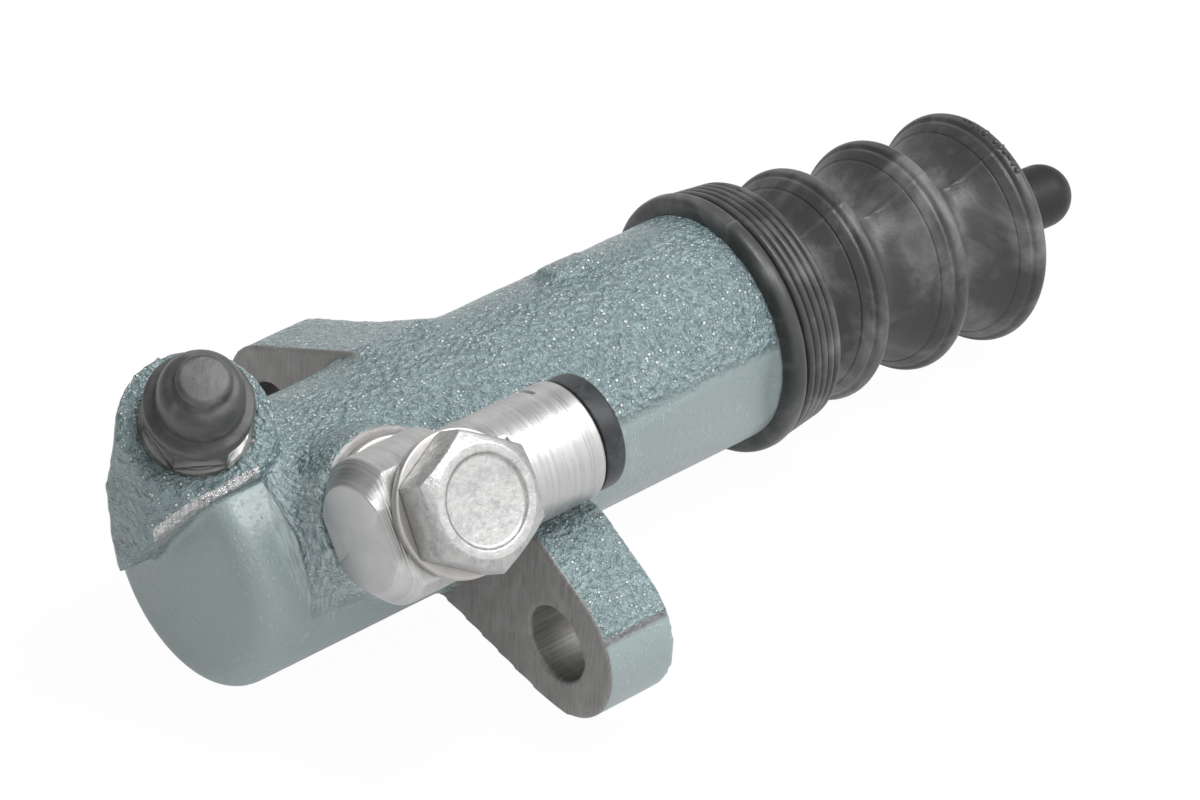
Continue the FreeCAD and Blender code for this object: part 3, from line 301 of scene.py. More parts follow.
def paint_material(settings, groups):
    """Grey-green paint over a sand casting: nodular and glossy with painted glints and shade on the
    sand's side, matte below.
    """
    material, tree, shader = blank_material("cast_paint")
    grain = use(tree, groups["grain"])
    patches = use(tree, groups["smudges"], Scale=90.0, Low=0.35, High=0.7)
    specks = use(tree, groups["smudges"], Scale=900.0, Low=0.60, High=0.72)
    marks = use(tree, groups["marks"], Along_X=5200.0, Along_Y=420.0, Along_Z=420.0)
    rough = attribute(tree, "rough")
    band = attribute(tree, "band")
    relief = mapped(tree, rough, 0.0, 1.0, 0.10, 1.0)
    # Painted shade: the paint darkens in the hollows of the lumps, blended with random patches.
    hollow_shade = mapped(tree, grain["Lumps"], 0.40, 0.62)
    uneven = add(tree, "ShaderNodeMix", {0: 0.35, 2: hollow_shade, 3: patches["Mask"]}, data_type="FLOAT")
    shaded_and_patchy = blend_colours(tree, uneven.outputs[0], opaque(settings.paint_dark),
                         opaque(settings.paint))
    matte = blend_colours(tree, product(tree, specks["Mask"], 0.25), opaque(settings.paint_matte),
                          opaque(settings.paint_light))
    body = blend_colours(tree, rough, matte, shaded_and_patchy)
    # Painted glints: the tips of the nodules turn near-white, a painted highlight.
    tops = product(tree, product(tree, grain["Tops"], relief), 0.9)
    colour = blend_colours(tree, tops, body, opaque(settings.paint_glint))
    # A band by the port boss is drawn in lighter paint along the tool marks.
    striped_band = product(tree, band, marks["Mask"])
    colour = blend_colours(tree, striped_band, colour, opaque(settings.paint_light))
    colour = blend_colours(tree, attribute(tree, "crack"), colour, opaque(settings.iron_dark))
    ground = mapped(tree, attribute(tree, "fettled"), 0.4, 0.6)
    metal = blend_colours(tree, marks["Mask"], opaque(settings.steel_dark),
                          opaque(settings.ground_iron))
    feed(tree, shader, {"Base Color": blend_colours(tree, ground, colour, metal),
                        "Metallic": product(tree, ground, 0.8),
                        "Roughness": mapped(tree, rough, 0.0, 1.0, 0.46, 0.27),
                        "Specular IOR Level": 1.0})
    scratched = product(tree, marks["Height"], product(tree, total(tree, band, ground), 0.5))
    height = total(tree, product(tree, grain["Height"], relief), scratched)
    bump(tree, shader, height, settings.paint_bump, 0.00080)
    return material


def bare_iron_material(settings, groups):
    """Cast iron left bare by the cutter, with fine marks."""
    material, tree, shader = blank_material("bare_iron")
    marks = use(tree, groups["marks"], Along_X=60.0, Along_Y=6500.0, Along_Z=160.0)
    spots = use(tree, groups["smudges"], Scale=260.0, Low=0.4, High=0.8)
    body = blend_colours(tree, marks["Mask"], opaque(settings.iron_dark), opaque(settings.iron))
    colour = blend_colours(tree, spots["Mask"], body, opaque(settings.iron))
    feed(tree, shader, {"Base Color": colour, "Metallic": 0.55, "Roughness": 0.5})
    bump(tree, shader, marks["Height"], 0.25, 0.0001)
    return material


def turned_metal_material(name, groups, lathe, rough, depth, dark, light, metallic=1.0):
    """Metal off a lathe. The lathe is a point, an axis, and the rings along it and across it."""
    material, tree, shader = blank_material(name)
    point, axis, along, across = lathe
    rings = use(tree, groups["rings"], Point=point, Axis=axis, Rings_Along=along,
                Rings_Across=across)
    cloud = use(tree, groups["smudges"], Scale=240.0, Low=0.35, High=0.75)
    body = blend_colours(tree, rings["Mask"], opaque(dark), opaque(light))
    feed(tree, shader, {"Base Color": blend_colours(tree, cloud["Mask"], body, opaque(light)),
                        "Metallic": metallic,
                        "Roughness": mapped(tree, rings["Mask"], 0.0, 1.0, rough, rough + 0.14)})
    bump(tree, shader, rings["Height"], 0.6, depth)
    return material


def worn_zinc_material(settings, groups):
    """Plating of the union bolt, stained and pitted unevenly."""
    material, tree, shader = blank_material("plated_bolt")
    stains = use(tree, groups["smudges"], Scale=620.0, Low=0.30, High=0.66)
    fine = use(tree, groups["smudges"], Scale=1900.0, Low=0.42, High=0.66)
    pits = use(tree, groups["grain"], Lump_Scale=1500.0, Nodule_Scale=4200.0, Nodule_Share=0.5)
    body = blend_colours(tree, stains["Mask"], opaque(settings.zinc_dark), opaque(settings.zinc))
    colour = blend_colours(tree, product(tree, fine["Mask"], 0.5), body, opaque(settings.steel))
    feed(tree, shader, {"Base Color": colour, "Metallic": 1.0,
                        "Roughness": mapped(tree, stains["Mask"], 0.0, 1.0, 0.50, 0.34)})
    bump(tree, shader, pits["Height"], 0.5, 0.00006)
    return material


def rubber_material(name, settings, groups, dark, share, rough, patch_scale=110.0):
    """Moulded rubber with lighter handling marks and a faint grain."""
    material, tree, shader = blank_material(name)
    marks = use(tree, groups["smudges"], Scale=patch_scale, Low=0.42, High=0.78)
    fine = use(tree, groups["grain"], Lump_Scale=900.0, Nodule_Scale=3600.0, Nodule_Share=0.5)
    colour = blend_colours(tree, product(tree, marks["Mask"], share), opaque(dark),
                           opaque(settings.rubber_mark))
    feed(tree, shader, {"Base Color": colour, "Specular IOR Level": 0.38,
                        "Roughness": mapped(tree, marks["Mask"], 0.0, 1.0, rough, rough + 0.15)})
    bump(tree, shader, fine["Height"], 0.18, 0.00012)
    return material


def tint(name, description, *value):
    """A colour that a user can change."""
    return FloatVectorProperty(name=name, description=description, subtype="COLOR",
                               default=value, min=0.0, max=1.0)


class CylinderFinish(bpy.types.PropertyGroup):
    """Colours and relief of the finishes."""

    paint: tint("Paint", "Paint of the casting", 0.200, 0.276, 0.286)
    # Painted shade blended with random patches: the darker paint in the hollows of the lumps.
    paint_dark: tint("Paint, Dark", "Paint where it lies thin", 0.105, 0.160, 0.168)
    paint_light: tint("Paint, Light", "Paint on the tops of the bumps", 0.460, 0.545, 0.555)
    paint_matte: tint("Paint, Matte", "Paint on the smooth faces of the casting",
                      0.205, 0.256, 0.258)
    # Painted highlight: the near-white colour of the nodules' tips, standing in for glints.
    paint_glint: tint("Paint, Tips", "Tips of the small nodules, where the paint shines",
                    0.68, 0.74, 0.75)
    ground_iron: tint("Ground Iron", "Flash ground off the boss's ridge", 0.70, 0.71, 0.71)
    paint_bump: FloatProperty(
        name="Paint Relief", description="Strength of the sand casting's bumps",
        default=0.85, min=0.0, max=1.0, subtype="FACTOR")
    iron: tint("Bare Iron", "Machined faces of the ears", 0.27, 0.265, 0.257)
    iron_dark: tint("Bare Iron, Dark", "Marks in those faces", 0.135, 0.132, 0.128)
    steel: tint("Plated Steel", "Union and bolt", 0.52, 0.52, 0.515)
    steel_dark: tint("Plated Steel, Dark", "Bottoms of the turned rings", 0.38, 0.38, 0.38)
    zinc: tint("Zinc", "Worn plating of the union bolt", 0.42, 0.42, 0.415)
    zinc_dark: tint("Zinc, Dark", "Stains in that plating", 0.31, 0.31, 0.308)
    black_oxide: tint("Black Oxide", "Push rod", 0.006, 0.006, 0.007)
    copper: tint("Gaskets", "Soft metal gaskets", 0.44, 0.42, 0.40)
    rubber: tint("Boot Rubber", "Rubber of the boot", 0.033, 0.034, 0.034)
    rubber_mark: tint("Boot Marks", "Lighter marks on the boot", 0.180, 0.184, 0.181)
    cap: tint("Cap Rubber", "Rubber of the bleeder cap", 0.052, 0.053, 0.052)
    plug: tint("Plug", "Plug of the hose port", 0.010, 0.012, 0.015)


class CylinderCasting(bpy.types.PropertyGroup):
    """How the casting's skin is worked."""

    voxel: FloatProperty(
        name="Grid", description="Size of the grid that the skin is made on", default=0.000475,
        min=0.0003, max=0.002, subtype="DISTANCE")
    fillet_steps: IntProperty(
        name="Fillet Steps", description="How far the inside corners fill", default=70,
        min=0, max=300)
    soften_steps: IntProperty(
        name="Soften Steps", description="How far the outside corners soften", default=5,
        min=0, max=60)
    relief: FloatProperty(
        name="Relief", description="Height of the sand's broad unevenness", default=0.00006,
        min=0.0, max=0.001, subtype="DISTANCE")


class CylinderStage(bpy.types.PropertyGroup):
    """Camera, lamps and floor."""

    lens: FloatProperty(
        name="Lens", description="Focal length of the camera in millimetres", default=165.0,
        min=20.0, max=400.0)
    lamp: FloatProperty(
        name="Lamp", description="Power in watts that the lamps share out", default=5.6,
        min=0.0, max=100.0)
    sky: FloatProperty(
        name="Tent", description="Strength of the white tent round the part", default=0.24,
        min=0.0, max=3.0)
    mirror_low: FloatProperty(
        name="Mirrored Tent, Dark", description="What glossy surfaces see away from the key lamp",
        default=0.42, min=0.0, max=3.0)
    mirror_high: FloatProperty(
        name="Mirrored Tent, Bright", description="What glossy surfaces see toward the key lamp",
        default=0.80, min=0.0, max=3.0)
    floor_glow: FloatProperty(
        name="Floor Glow", description="How far the floor is burnt out to white in the picture",
        default=0.97, min=0.0, max=1.0, subtype="FACTOR")
    floor: tint("Floor", "Colour of the floor", 0.93, 0.93, 0.93)


def shared_groups():
    """The shader groups, made once."""
    makers = {"grain": ("cast_grain", cast_grain_group), "smudges": ("smudges", smudge_group),
              "marks": ("tool_marks", tool_mark_group), "rings": ("turned_rings", ring_group)}
    return {key: bpy.data.node_groups.get(name) or make() for key, (name, make) in makers.items()}


def dress(node, *materials):
    """Gives a CAD node its materials."""
    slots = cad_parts[node].data.materials
    slots.clear()
    for material in materials:
        slots.append(material)


def merged_copy(node, name):
    """A closed copy of a CAD node's mesh, as a new object at the origin."""
    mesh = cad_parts[node].data.copy()
    mesh.name = name
    work = bmesh.new()
    work.from_mesh(mesh)
    bmesh.ops.remove_doubles(work, verts=work.verts, dist=1e-6)
    work.to_mesh(mesh)
    work.free()
    mesh.materials.clear()
    made = bpy.data.objects.new(name, mesh)
    bpy.context.scene.collection.objects.link(made)
    return made


def applied(thing):
    """Turns an object's modifiers into its plain mesh."""
    bpy.context.view_layer.update()
    graph = bpy.context.evaluated_depsgraph_get()
    mesh = bpy.data.meshes.new_from_object(thing.evaluated_get(graph))
    mesh.name = thing.data.name
    old = thing.data
    thing.modifiers.clear()
    thing.data = mesh
    bpy.data.meshes.remove(old)
    return thing


def corners(mesh):
    spots = np.zeros(len(mesh.vertices) * 3)
    mesh.vertices.foreach_get("co", spots)
    return spots.reshape(-1, 3)


def neighbours(mesh):
    """The two ends of each edge, and how many edges meet at each vertex."""
    ends = np.zeros(len(mesh.edges) * 2, dtype=np.int64)
    mesh.edges.foreach_get("vertices", ends)
    ends = ends.reshape(-1, 2)
    return ends, np.bincount(ends.ravel(), minlength=len(mesh.vertices)).clip(1)


def pull(spots, ends, count):
    """From each vertex to the mean of its neighbours."""
    sums = np.zeros_like(spots)
    for axis in range(3):
        sums[:, axis] = np.bincount(ends[:, 0], spots[ends[:, 1], axis], len(spots))
        sums[:, axis] += np.bincount(ends[:, 1], spots[ends[:, 0], axis], len(spots))
    return sums / count[:, None] - spots


def vertex_normals(mesh):
    ways = np.zeros(len(mesh.vertices) * 3)
    mesh.vertices.foreach_get("normal", ways)
    return ways.reshape(-1, 3)


def axis_distance(spots, point, direction):
    """Distance of each vertex from an axis, and how far along it lies."""
    offset = spots - np.array(point)
    along = offset @ np.array(direction)
    return np.linalg.norm(offset - along[:, None] * np.array(direction), axis=1), along


def machined(spots, ways):
    """Which spots, with the ways that they face, lie on surfaces that are cut after casting."""
    across, along = axis_distance(spots, BORE_AXIS, (1.0, 0.0, 0.0))
    cut = (across < BORE_CUT) & (along > BORE_DEPTH - 0.0006)
    cut |= along > MOUTH - 0.0002
    cut |= (np.abs(spots[:, 0]) < 0.0003) & (across > BARREL + 0.0002)
    for side in EAR_HOLES:
        hole = axis_distance(spots, (0.0, side, 0.0), (1.0, 0.0, 0.0))[0]
        cut |= hole < EAR_HOLE_CUT
    across, along = axis_distance(spots, PORT, PORT_DIRECTION)
    cut |= (across < PORT_FACE_CUT) & (along > PORT_SEAT - 0.0003)
    cut |= (across < PORT_HOLE_CUT) & (along > 0.009)
    across, along = axis_distance(spots, BLEEDER, BLEEDER_DIRECTION)
    cut |= (across < BLEEDER_FACE_CUT) & (along > -FACE_DEPTH)
    outward = ((spots - np.array(BLEEDER)) * ways).sum(axis=1)
    outward -= along * (ways @ np.array(BLEEDER_DIRECTION))
    wall = (along < 0.0) & (along > -BLEEDER_HOLE_DEPTH) & (outward < 0.0)
    return cut | ((across < BLEEDER_HOLE_CUT) & wall)


def share(values):
    """Clamps to 0 and 1 and eases both ends."""
    values = np.clip(values, 0.0, 1.0)
    return values * values * (3.0 - 2.0 * values)


def ledge_distance(spots):
    """How far below the plane of the boss's ledge each vertex lies."""
    return (spots - np.array(LEDGE_FOOT)) @ np.array(LEDGE_DIRECTION)


def sand_side(spots):
    """How much of the sand's rough skin each vertex has: 1 above the parting, 0 below it."""
    x, y, z = spots.T
    parting = 0.005 + 0.0054 * share((x - 0.010) / 0.012)
    above = share((z - parting) / 0.0014 + 0.5)
    on_boss = (x < LEDGE_END) & (y < LEDGE_FOOT.y)
    return np.where(on_boss, share(0.5 - ledge_distance(spots) / 0.0008), above)


def ground_band(spots):
    """The band that a grinder left bright on the boss's ridge, just above the ledge."""
    x, y, z = spots.T
    below = ledge_distance(spots)
    band = share((below + GRIND_WIDTH) / 0.0003 + 0.5) * share(0.5 - below / 0.0003)
    return band * share((x + 0.0337) / 0.0005) * share((-0.0226 - x) / 0.0005) * (y < 0.0060)


def carry(mesh, name, values):
    """Stores a value for each vertex, for the material to read."""
    mesh.attributes.new(name, "FLOAT", "POINT").data.foreach_set("value", values.astype(np.float32))


def pad_zone(spots):
    """The plain pad on top of the barrel and a narrow margin round it."""
    across = axis_distance(spots, BORE_AXIS, FORWARD)[0]
    pad = (across > BARREL + 0.0003) & (spots[:, 0] > 0.023) & (spots[:, 0] < 0.036)
    pad &= spots[:, 2] > 0.014
    low, high = spots[pad].min(axis=0) - 0.0010, spots[pad].max(axis=0) + 0.0010
    return ((spots > low) & (spots < high)).all(axis=1)


def close_back_wall(thing):
    """Fills the place at the boss's back where the solid's bleeder hole runs out of the casting."""
    side = Vector((-BLEEDER_DIRECTION.y, BLEEDER_DIRECTION.x, 0.0)).normalized()
    top = BLEEDER_DIRECTION.cross(side)
    ways = (side, top, BLEEDER_DIRECTION)
    place = Matrix([way * size for way, size in zip(ways, BACK_WALL_SIZES)]).transposed().to_4x4()
    place.translation = BLEEDER - BLEEDER_DIRECTION * BACK_WALL_DEPTH + top * BACK_WALL_OUT
    work = bmesh.new()
    work.from_mesh(thing.data)
    bmesh.ops.create_uvsphere(work, u_segments=32, v_segments=16, radius=1.0, matrix=place)
    work.to_mesh(thing.data)
    work.free()


class CYLINDER_OT_casting(bpy.types.Operator):
    """Makes the cast body with filled inside corners, sand relief and bare machined faces"""

    bl_idname = "cylinder.casting"
    bl_label = "Casting"

    def execute(self, context):
        values = context.scene.cylinder_casting
        finish = context.scene.cylinder_finish
        groups = shared_groups()
        skin = merged_copy("cylinder_body", "casting")
        close_back_wall(skin)
        context.view_layer.update()
        original = BVHTree.FromObject(skin, context.evaluated_depsgraph_get())
        grid = skin.modifiers.new("grid", "REMESH")
        grid.mode = "VOXEL"
        grid.voxel_size = values.voxel
        applied(skin)
        mesh = skin.data
        spots = corners(mesh)
        ends, count = neighbours(mesh)
        fixed = machined(spots, vertex_normals(mesh))
        sandy = sand_side(spots)
        crisp = pad_zone(spots)
        ridge = (spots[:, 0] < -0.022) & (spots[:, 1] < 0.006)
        crisp |= (np.abs(ledge_distance(spots)) < 0.002) & ridge
        rate = 0.6 * (0.10 + 0.90 * sandy) * ~(fixed | crisp)
        for step in range(values.fillet_steps):
            ways = vertex_normals(mesh)
            rise = (pull(spots, ends, count) * ways).sum(axis=1)
            spots += ways * (rise.clip(0.0) * rate)[:, None]
            mesh.vertices.foreach_set("co", spots.ravel())
            mesh.update()
        soft = np.where(fixed, 0.5, (0.2 + 0.3 * sandy) * (1.0 - 0.8 * crisp))
        for step in range(values.soften_steps):
            spots += pull(spots, ends, count) * soft[:, None]
        bright = ground_band(spots)
        mesh.vertices.foreach_set("co", spots.ravel())
        mesh.update()
        ways = vertex_normals(mesh)
        for number, spot in enumerate(spots):
            if fixed[number]:
                spots[number] = original.find_nearest(Vector(spot))[0]
            elif bright[number] < 0.5:
                swell = noise.noise(Vector(spot) * 260.0) + 0.6 * noise.noise(Vector(spot) * 620.0)
                lift = max(0.0, noise.noise(Vector(spot) * 1050.0) - 0.05)
                weight = 0.15 + 0.85 * sandy[number]
                spots[number] += ways[number] * (swell + 0.9 * lift) * values.relief * weight
        mesh.vertices.foreach_set("co", spots.ravel())
        mesh.update()
        # A band along the port boss's -X side, which the paint draws lighter with striations.
        across, along = axis_distance(spots, PORT, PORT_DIRECTION)
        band = share((across - 0.0088) / 0.0006) * share((0.0124 - across) / 0.0008)
        band *= share((PORT.x - 0.0062 - spots[:, 0]) / 0.0006)
        band *= share((along - 0.0085) / 0.001) * (spots[:, 1] < 0.0)
        ear_line = np.exp(-((spots[:, 2] - 0.005) / 0.00028) ** 2) * (spots[:, 1] < -0.0285)
        carry(mesh, "rough", sandy)
        carry(mesh, "fettled", bright)
        carry(mesh, "band", band * (1.0 - bright))
        carry(mesh, "crack", ear_line)
        mesh.materials.append(paint_material(finish, groups))
        mesh.materials.append(bare_iron_material(finish, groups))
        middles = np.array([face.center for face in mesh.polygons])
        bare = machined(middles, np.array([face.normal for face in mesh.polygons]))
        across, along = axis_distance(middles, BLEEDER, BLEEDER_DIRECTION)
        bare &= ~((across > BLEEDER_FACE_CUT) & (along > -FACE_DEPTH) & (middles[:, 0] < -0.018))
        seat = (across < BLEEDER_FACE_CUT) & (np.abs(along) < FACE_DEPTH)
        mesh.materials.append(turned_metal_material(
            "spot_face", groups, (BLEEDER, BLEEDER_DIRECTION, 900.0, 5200.0), 0.26, 0.00015,
            finish.steel_dark, finish.steel))
        mesh.polygons.foreach_set("material_index", np.where(seat, 2, bare).astype(np.int32))
        mesh.polygons.foreach_set("use_smooth", np.ones(len(mesh.polygons), dtype=bool))
        mesh.update()
        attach(skin, "cylinder")
        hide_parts("cylinder_body")
        return {"FINISHED"}


def rounded(outline, steps=4):
    """A profile from corners (along, radius, rounding) in millimetres, each corner a short curve."""
    spots = []
    for number, (along, radius, rounding) in enumerate(outline):
        here = Vector((along, radius))
        if rounding == 0.0:
            spots.append(here)
            continue
        before = Vector(outline[number - 1][:2])
        after = Vector(outline[(number + 1) % len(outline)][:2])
        first = here + (before - here).normalized() * min(rounding, 0.45 * (before - here).length)
        last = here + (after - here).normalized() * min(rounding, 0.45 * (after - here).length)
        for step in range(steps + 1):
            part = step / steps
            spots.append(first * (1 - part) ** 2 + here * 2 * part * (1 - part) + last * part ** 2)
    return spots


def around(steps, first=0.0, seam=None, half=0.011):
    """Angles all the way round from the first; a seam gets three close ones of its own."""
    angles = [(first + math.tau * step / steps) % math.tau for step in range(steps)]
    if seam is not None:
        angles = [angle for angle in angles if abs(angle - seam) > 1.6 * half]
        angles += [seam - half, seam, seam + half]
    return sorted(angles)


def hexagon(angle, turn, across_flats):
    """Radius of a hexagon at an angle, with a corner at the turn."""
    return across_flats / 2 / math.cos((angle - turn) % (math.pi / 3) - math.pi / 6)


def turned(name, shape, point, direction, angles):
    """A closed body round an axis. The shape gives the profile at an angle as (along, radius) points;
    a profile that starts on the axis ends there too, and any other closes on itself."""
    direction = Vector(direction).normalized()
    side = Vector((-direction.y, direction.x, 0.0)).normalized()
    top = direction.cross(side)
    profiles = [shape(angle) for angle in angles]
    solid = profiles[0][0][1] == 0.0
    spots, faces = [], []
    for angle, profile in zip(angles, profiles):
        out = side * math.cos(angle) + top * math.sin(angle)
        for along, radius in (profile[1:-1] if solid else profile):
            spots.append(point + (direction * along + out * radius) * MM)
    rows = len(profiles[0]) - 2 if solid else len(profiles[0])
    columns = len(angles)
    for column in range(columns):
        here, there = column * rows, (column + 1) % columns * rows
        for row in range(rows - 1 if solid else rows):
            below = (row + 1) % rows
            faces.append((here + row, here + below, there + below, there + row))
    if solid:
        for row, pole in ((0, profiles[0][0]), (rows - 1, profiles[0][-1])):
            spots.append(point + direction * pole[0] * MM)
            for column in range(columns):
                here, there = column * rows, (column + 1) % columns * rows
                faces.append((here + row, there + row, len(spots) - 1))
    mesh = bpy.data.meshes.new(name)
    mesh.from_pydata(spots, [], faces)
    work = bmesh.new()
    work.from_mesh(mesh)
    bmesh.ops.recalc_face_normals(work, faces=work.faces)
    work.to_mesh(mesh)
    work.free()
    made = bpy.data.objects.new(name, mesh)
    bpy.context.scene.collection.objects.link(made)
    return made


def finished(piece, material, body, nodes=(), crease=32.0):
    """Shades a finished piece, gives it its material and says what it rides on and replaces."""
    mesh = piece.data
    mesh.polygons.foreach_set("use_smooth", np.ones(len(mesh.polygons), dtype=bool))
    mesh.set_sharp_from_angle(angle=math.radians(crease))
    mesh.materials.clear()
    mesh.materials.append(material)
    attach(piece, body)
    if nodes:
        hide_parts(*nodes)
    return piece


def grown(name, group, **inputs):
    """Runs a Geometry Nodes group with the given inputs and keeps what it makes as a plain mesh."""
    made = bpy.data.objects.new(name, bpy.data.meshes.new(name))
    bpy.context.scene.collection.objects.link(made)
    modifier = made.modifiers.new(name, "NODES")
    modifier.node_group = group
    for socket in group.interface.items_tree:
        label = socket.name.replace(" ", "_")
        if socket.in_out == "INPUT" and label in inputs:
            modifier[socket.identifier] = inputs[label]
    return applied(made)


def geometry_group(name, inputs):
    """An empty Geometry Nodes group that takes named inputs and gives out a geometry."""
    tree = bpy.data.node_groups.new(name, "GeometryNodeTree")
    for label, kind, default in inputs:
        socket = tree.interface.new_socket(label, in_out="INPUT", socket_type=kind)
        if default is not None:
            socket.default_value = default
    tree.interface.new_socket("Geometry", in_out="OUTPUT", socket_type="NodeSocketGeometry")
    return tree, add(tree, "NodeGroupInput").outputs, add(tree, "NodeGroupOutput").inputs


def give_out(tree, geometry, material, result):
    """Makes instances real, smooth and dressed, and hands them out of the group."""
    real = add(tree, "GeometryNodeRealizeInstances", {0: geometry})
    smooth = add(tree, "GeometryNodeSetShadeSmooth", {"Geometry": real.outputs[0]})
    dressed = add(tree, "GeometryNodeSetMaterial", {"Geometry": smooth.outputs[0],
                                                    "Material": material})
    tree.links.new(dressed.outputs[0], result["Geometry"])


def rib_group():
    """Round ribs in a row along Z, each a little smaller than the last."""
    tree, given, result = geometry_group("ribs", (
        ("Count", "NodeSocketInt", 5), ("Pitch", "NodeSocketFloat", 0.00112),
        ("Radius", "NodeSocketFloat", 0.01515), ("Thickness", "NodeSocketFloat", 0.00058),
        ("Taper", "NodeSocketFloat", 0.009), ("Material", "NodeSocketMaterial", None)))
    step = add(tree, "ShaderNodeCombineXYZ", {2: given["Pitch"]})
    line = add(tree, "GeometryNodeMeshLine", {"Count": given["Count"], "Offset": step.outputs[0]})
    ring = add(tree, "GeometryNodeCurvePrimitiveCircle",
               {"Resolution": 144, "Radius": given["Radius"]})
    round_profile = add(tree, "GeometryNodeCurvePrimitiveCircle",
                        {"Resolution": 20, "Radius": given["Thickness"]})
    rib = add(tree, "GeometryNodeCurveToMesh", {"Curve": ring.outputs["Curve"],
                                                "Profile Curve": round_profile.outputs["Curve"]})
    number = add(tree, "GeometryNodeInputIndex")
    loss = product(tree, number.outputs[0], given["Taper"])
    scale = calc(tree, "SUBTRACT", 1.0, loss)
    scales = add(tree, "ShaderNodeCombineXYZ", {0: scale, 1: scale, 2: 1.0})
    placed = add(tree, "GeometryNodeInstanceOnPoints", {
        "Points": line.outputs[0], "Instance": rib.outputs[0], "Scale": scales.outputs[0]})
    give_out(tree, placed.outputs[0], given["Material"], result)
    return tree


def flash_group():
    """Crumbs of moulding flash in a row along an arc, of uneven size."""
    tree, given, result = geometry_group("flash", (
        ("Count", "NodeSocketInt", 12), ("Radius", "NodeSocketFloat", 0.0141),
        ("Start", "NodeSocketFloat", 1.4), ("Sweep", "NodeSocketFloat", 0.7),
        ("Size", "NodeSocketFloat", 0.0004), ("Seed", "NodeSocketInt", 5),
        ("Material", "NodeSocketMaterial", None)))
    arc = add(tree, "GeometryNodeCurveArc", {
        "Resolution": given["Count"], "Radius": given["Radius"], "Start Angle": given["Start"],
        "Sweep Angle": given["Sweep"]})
    crumb = add(tree, "GeometryNodeMeshIcoSphere", {"Radius": given["Size"], "Subdivisions": 2})
    size = add(tree, "FunctionNodeRandomValue", {"Min": (0.5, 0.5, 0.5), "Max": (1.3, 1.2, 1.5),
                                                 "Seed": given["Seed"]}, data_type="FLOAT_VECTOR")
    placed = add(tree, "GeometryNodeInstanceOnPoints", {
        "Points": arc.outputs["Curve"], "Instance": crumb.outputs[0], "Scale": size.outputs[0]})
    give_out(tree, placed.outputs[0], given["Material"], result)
    return tree


def stood_on(piece, point, direction):
    """Turns a mesh made along Z so that it lies along the direction, from the point."""
    direction = Vector(direction).normalized()
    side = Vector((-direction.y, direction.x, 0.0)).normalized()
    turn = Matrix((side, direction.cross(side), direction)).transposed().to_4x4()
    piece.data.transform(Matrix.Translation(point) @ turn)
    piece.data.update()
    return piece


def bolt_shape(angle):
    """Union bolt: bored shank, then a hexagon whose corners a cone of 30 degrees takes off."""
    wall = hexagon(angle, math.radians(27.0), 14.0)
    shoulder = 37.5 - (wall - 6.5) * math.tan(math.radians(30.0))
    return rounded([(28.5, 0.0, 0.0), (28.5, 2.0, 0.0), (13.4, 2.0, 0.3), (13.4, 4.95, 0.6),
                    (32.6, 4.95, 0.1), (32.6, wall, 0.25), (shoulder, wall, 0.25), (37.5, 6.5, 0.2),
                    (37.65, 6.2, 0.1), (37.65, 5.25, 0.15), (37.2, 4.9, 0.25), (37.2, 0.0, 0.0)])


def union_shape(angle):
    """Union: a blind eye, flat above and below where the gaskets seat, and a turned tube with a nick."""
    nick = 0.45 if abs(angle - math.radians(62.0)) < math.radians(13.0) else 0.0
    flat = 5.5 / max(0.01, abs(math.cos(angle - math.radians(144.0))))
    outline = rounded([(-22.0, 0.0, 0.0), (-22.0, 6.2, 0.12), (-19.7, 8.5, 0.25), (-10.5, 8.5, 0.4),
                       (-10.2, 7.0, 0.0)])
    for step in range(116):
        along = -9.9 + 0.14 * step
        cut = noise.noise(Vector((along * 2.6, 3.0, 0.0)))
        cut += 0.8 * noise.noise(Vector((along * 7.0, 8.0, 0.0)))
        outline.append(Vector((along, 7.0 - 0.035 * abs(cut) - nick * (3.3 < along < 3.75))))
    outline = [Vector((along, min(radius, flat) if along < -3.7 else radius))
               for along, radius in outline]
    return outline + rounded([(6.6, 7.0, 0.1), (7.1, 6.5, 0.1), (7.1, 4.4, 0.3), (-2.9, 4.4, 0.0),
                              (-4.4, 1.8, 0.0), (-12.0, 1.8, 0.0), (-12.0, 0.0, 0.0)])


def cap_shape(angle):
    """Bleeder cap: flange, body and button over a plain hollow."""
    return rounded([(12.1, 0.0, 0.0), (12.1, 2.95, 0.55), (10.5, 3.1, 0.35), (10.2, 4.1, 0.6),
                    (8.9, 4.75, 0.8), (5.7, 4.85, 0.35), (5.45, 6.1, 0.45), (3.3, 6.05, 0.4),
                    (3.3, 3.2, 0.3), (9.8, 3.2, 0.3), (9.8, 0.0, 0.0)])


def plug_shape(angle):
    """Plug of the hose port: a plain head on a stem."""
    return rounded([(10.0, 0.0, 0.0), (10.0, 6.7, 0.5), (7.2, 6.7, 0.25), (7.2, 4.3, 0.1),
                    (0.2, 4.3, 0.6), (0.2, 0.0, 0.0)])


def collar_shape(angle):
    """Boot's collar on the barrel: a roll, a sleeve and a front wall open in the middle."""
    lift = 0.14 if abs(angle - COLLAR_SEAM) < 0.002 else 0.0
    outline = [(46.75, 14.02, 0.0), (46.75, 15.3, 0.5), (47.2, 16.05, 0.7), (48.7, 16.15, 0.8),
               (49.3, 15.15, 0.25), (50.2, 15.2, 0.3), (54.7, 14.5, 0.5), (55.1, 13.2, 0.5),
               (55.1, 10.2, 0.3), (53.3, 10.0, 0.2), (52.35, 13.0, 0.3), (52.1, 14.02, 0.0)]
    return [Vector((along, radius + (lift if radius > 14.2 else 0.0)))
            for along, radius in rounded(outline)]


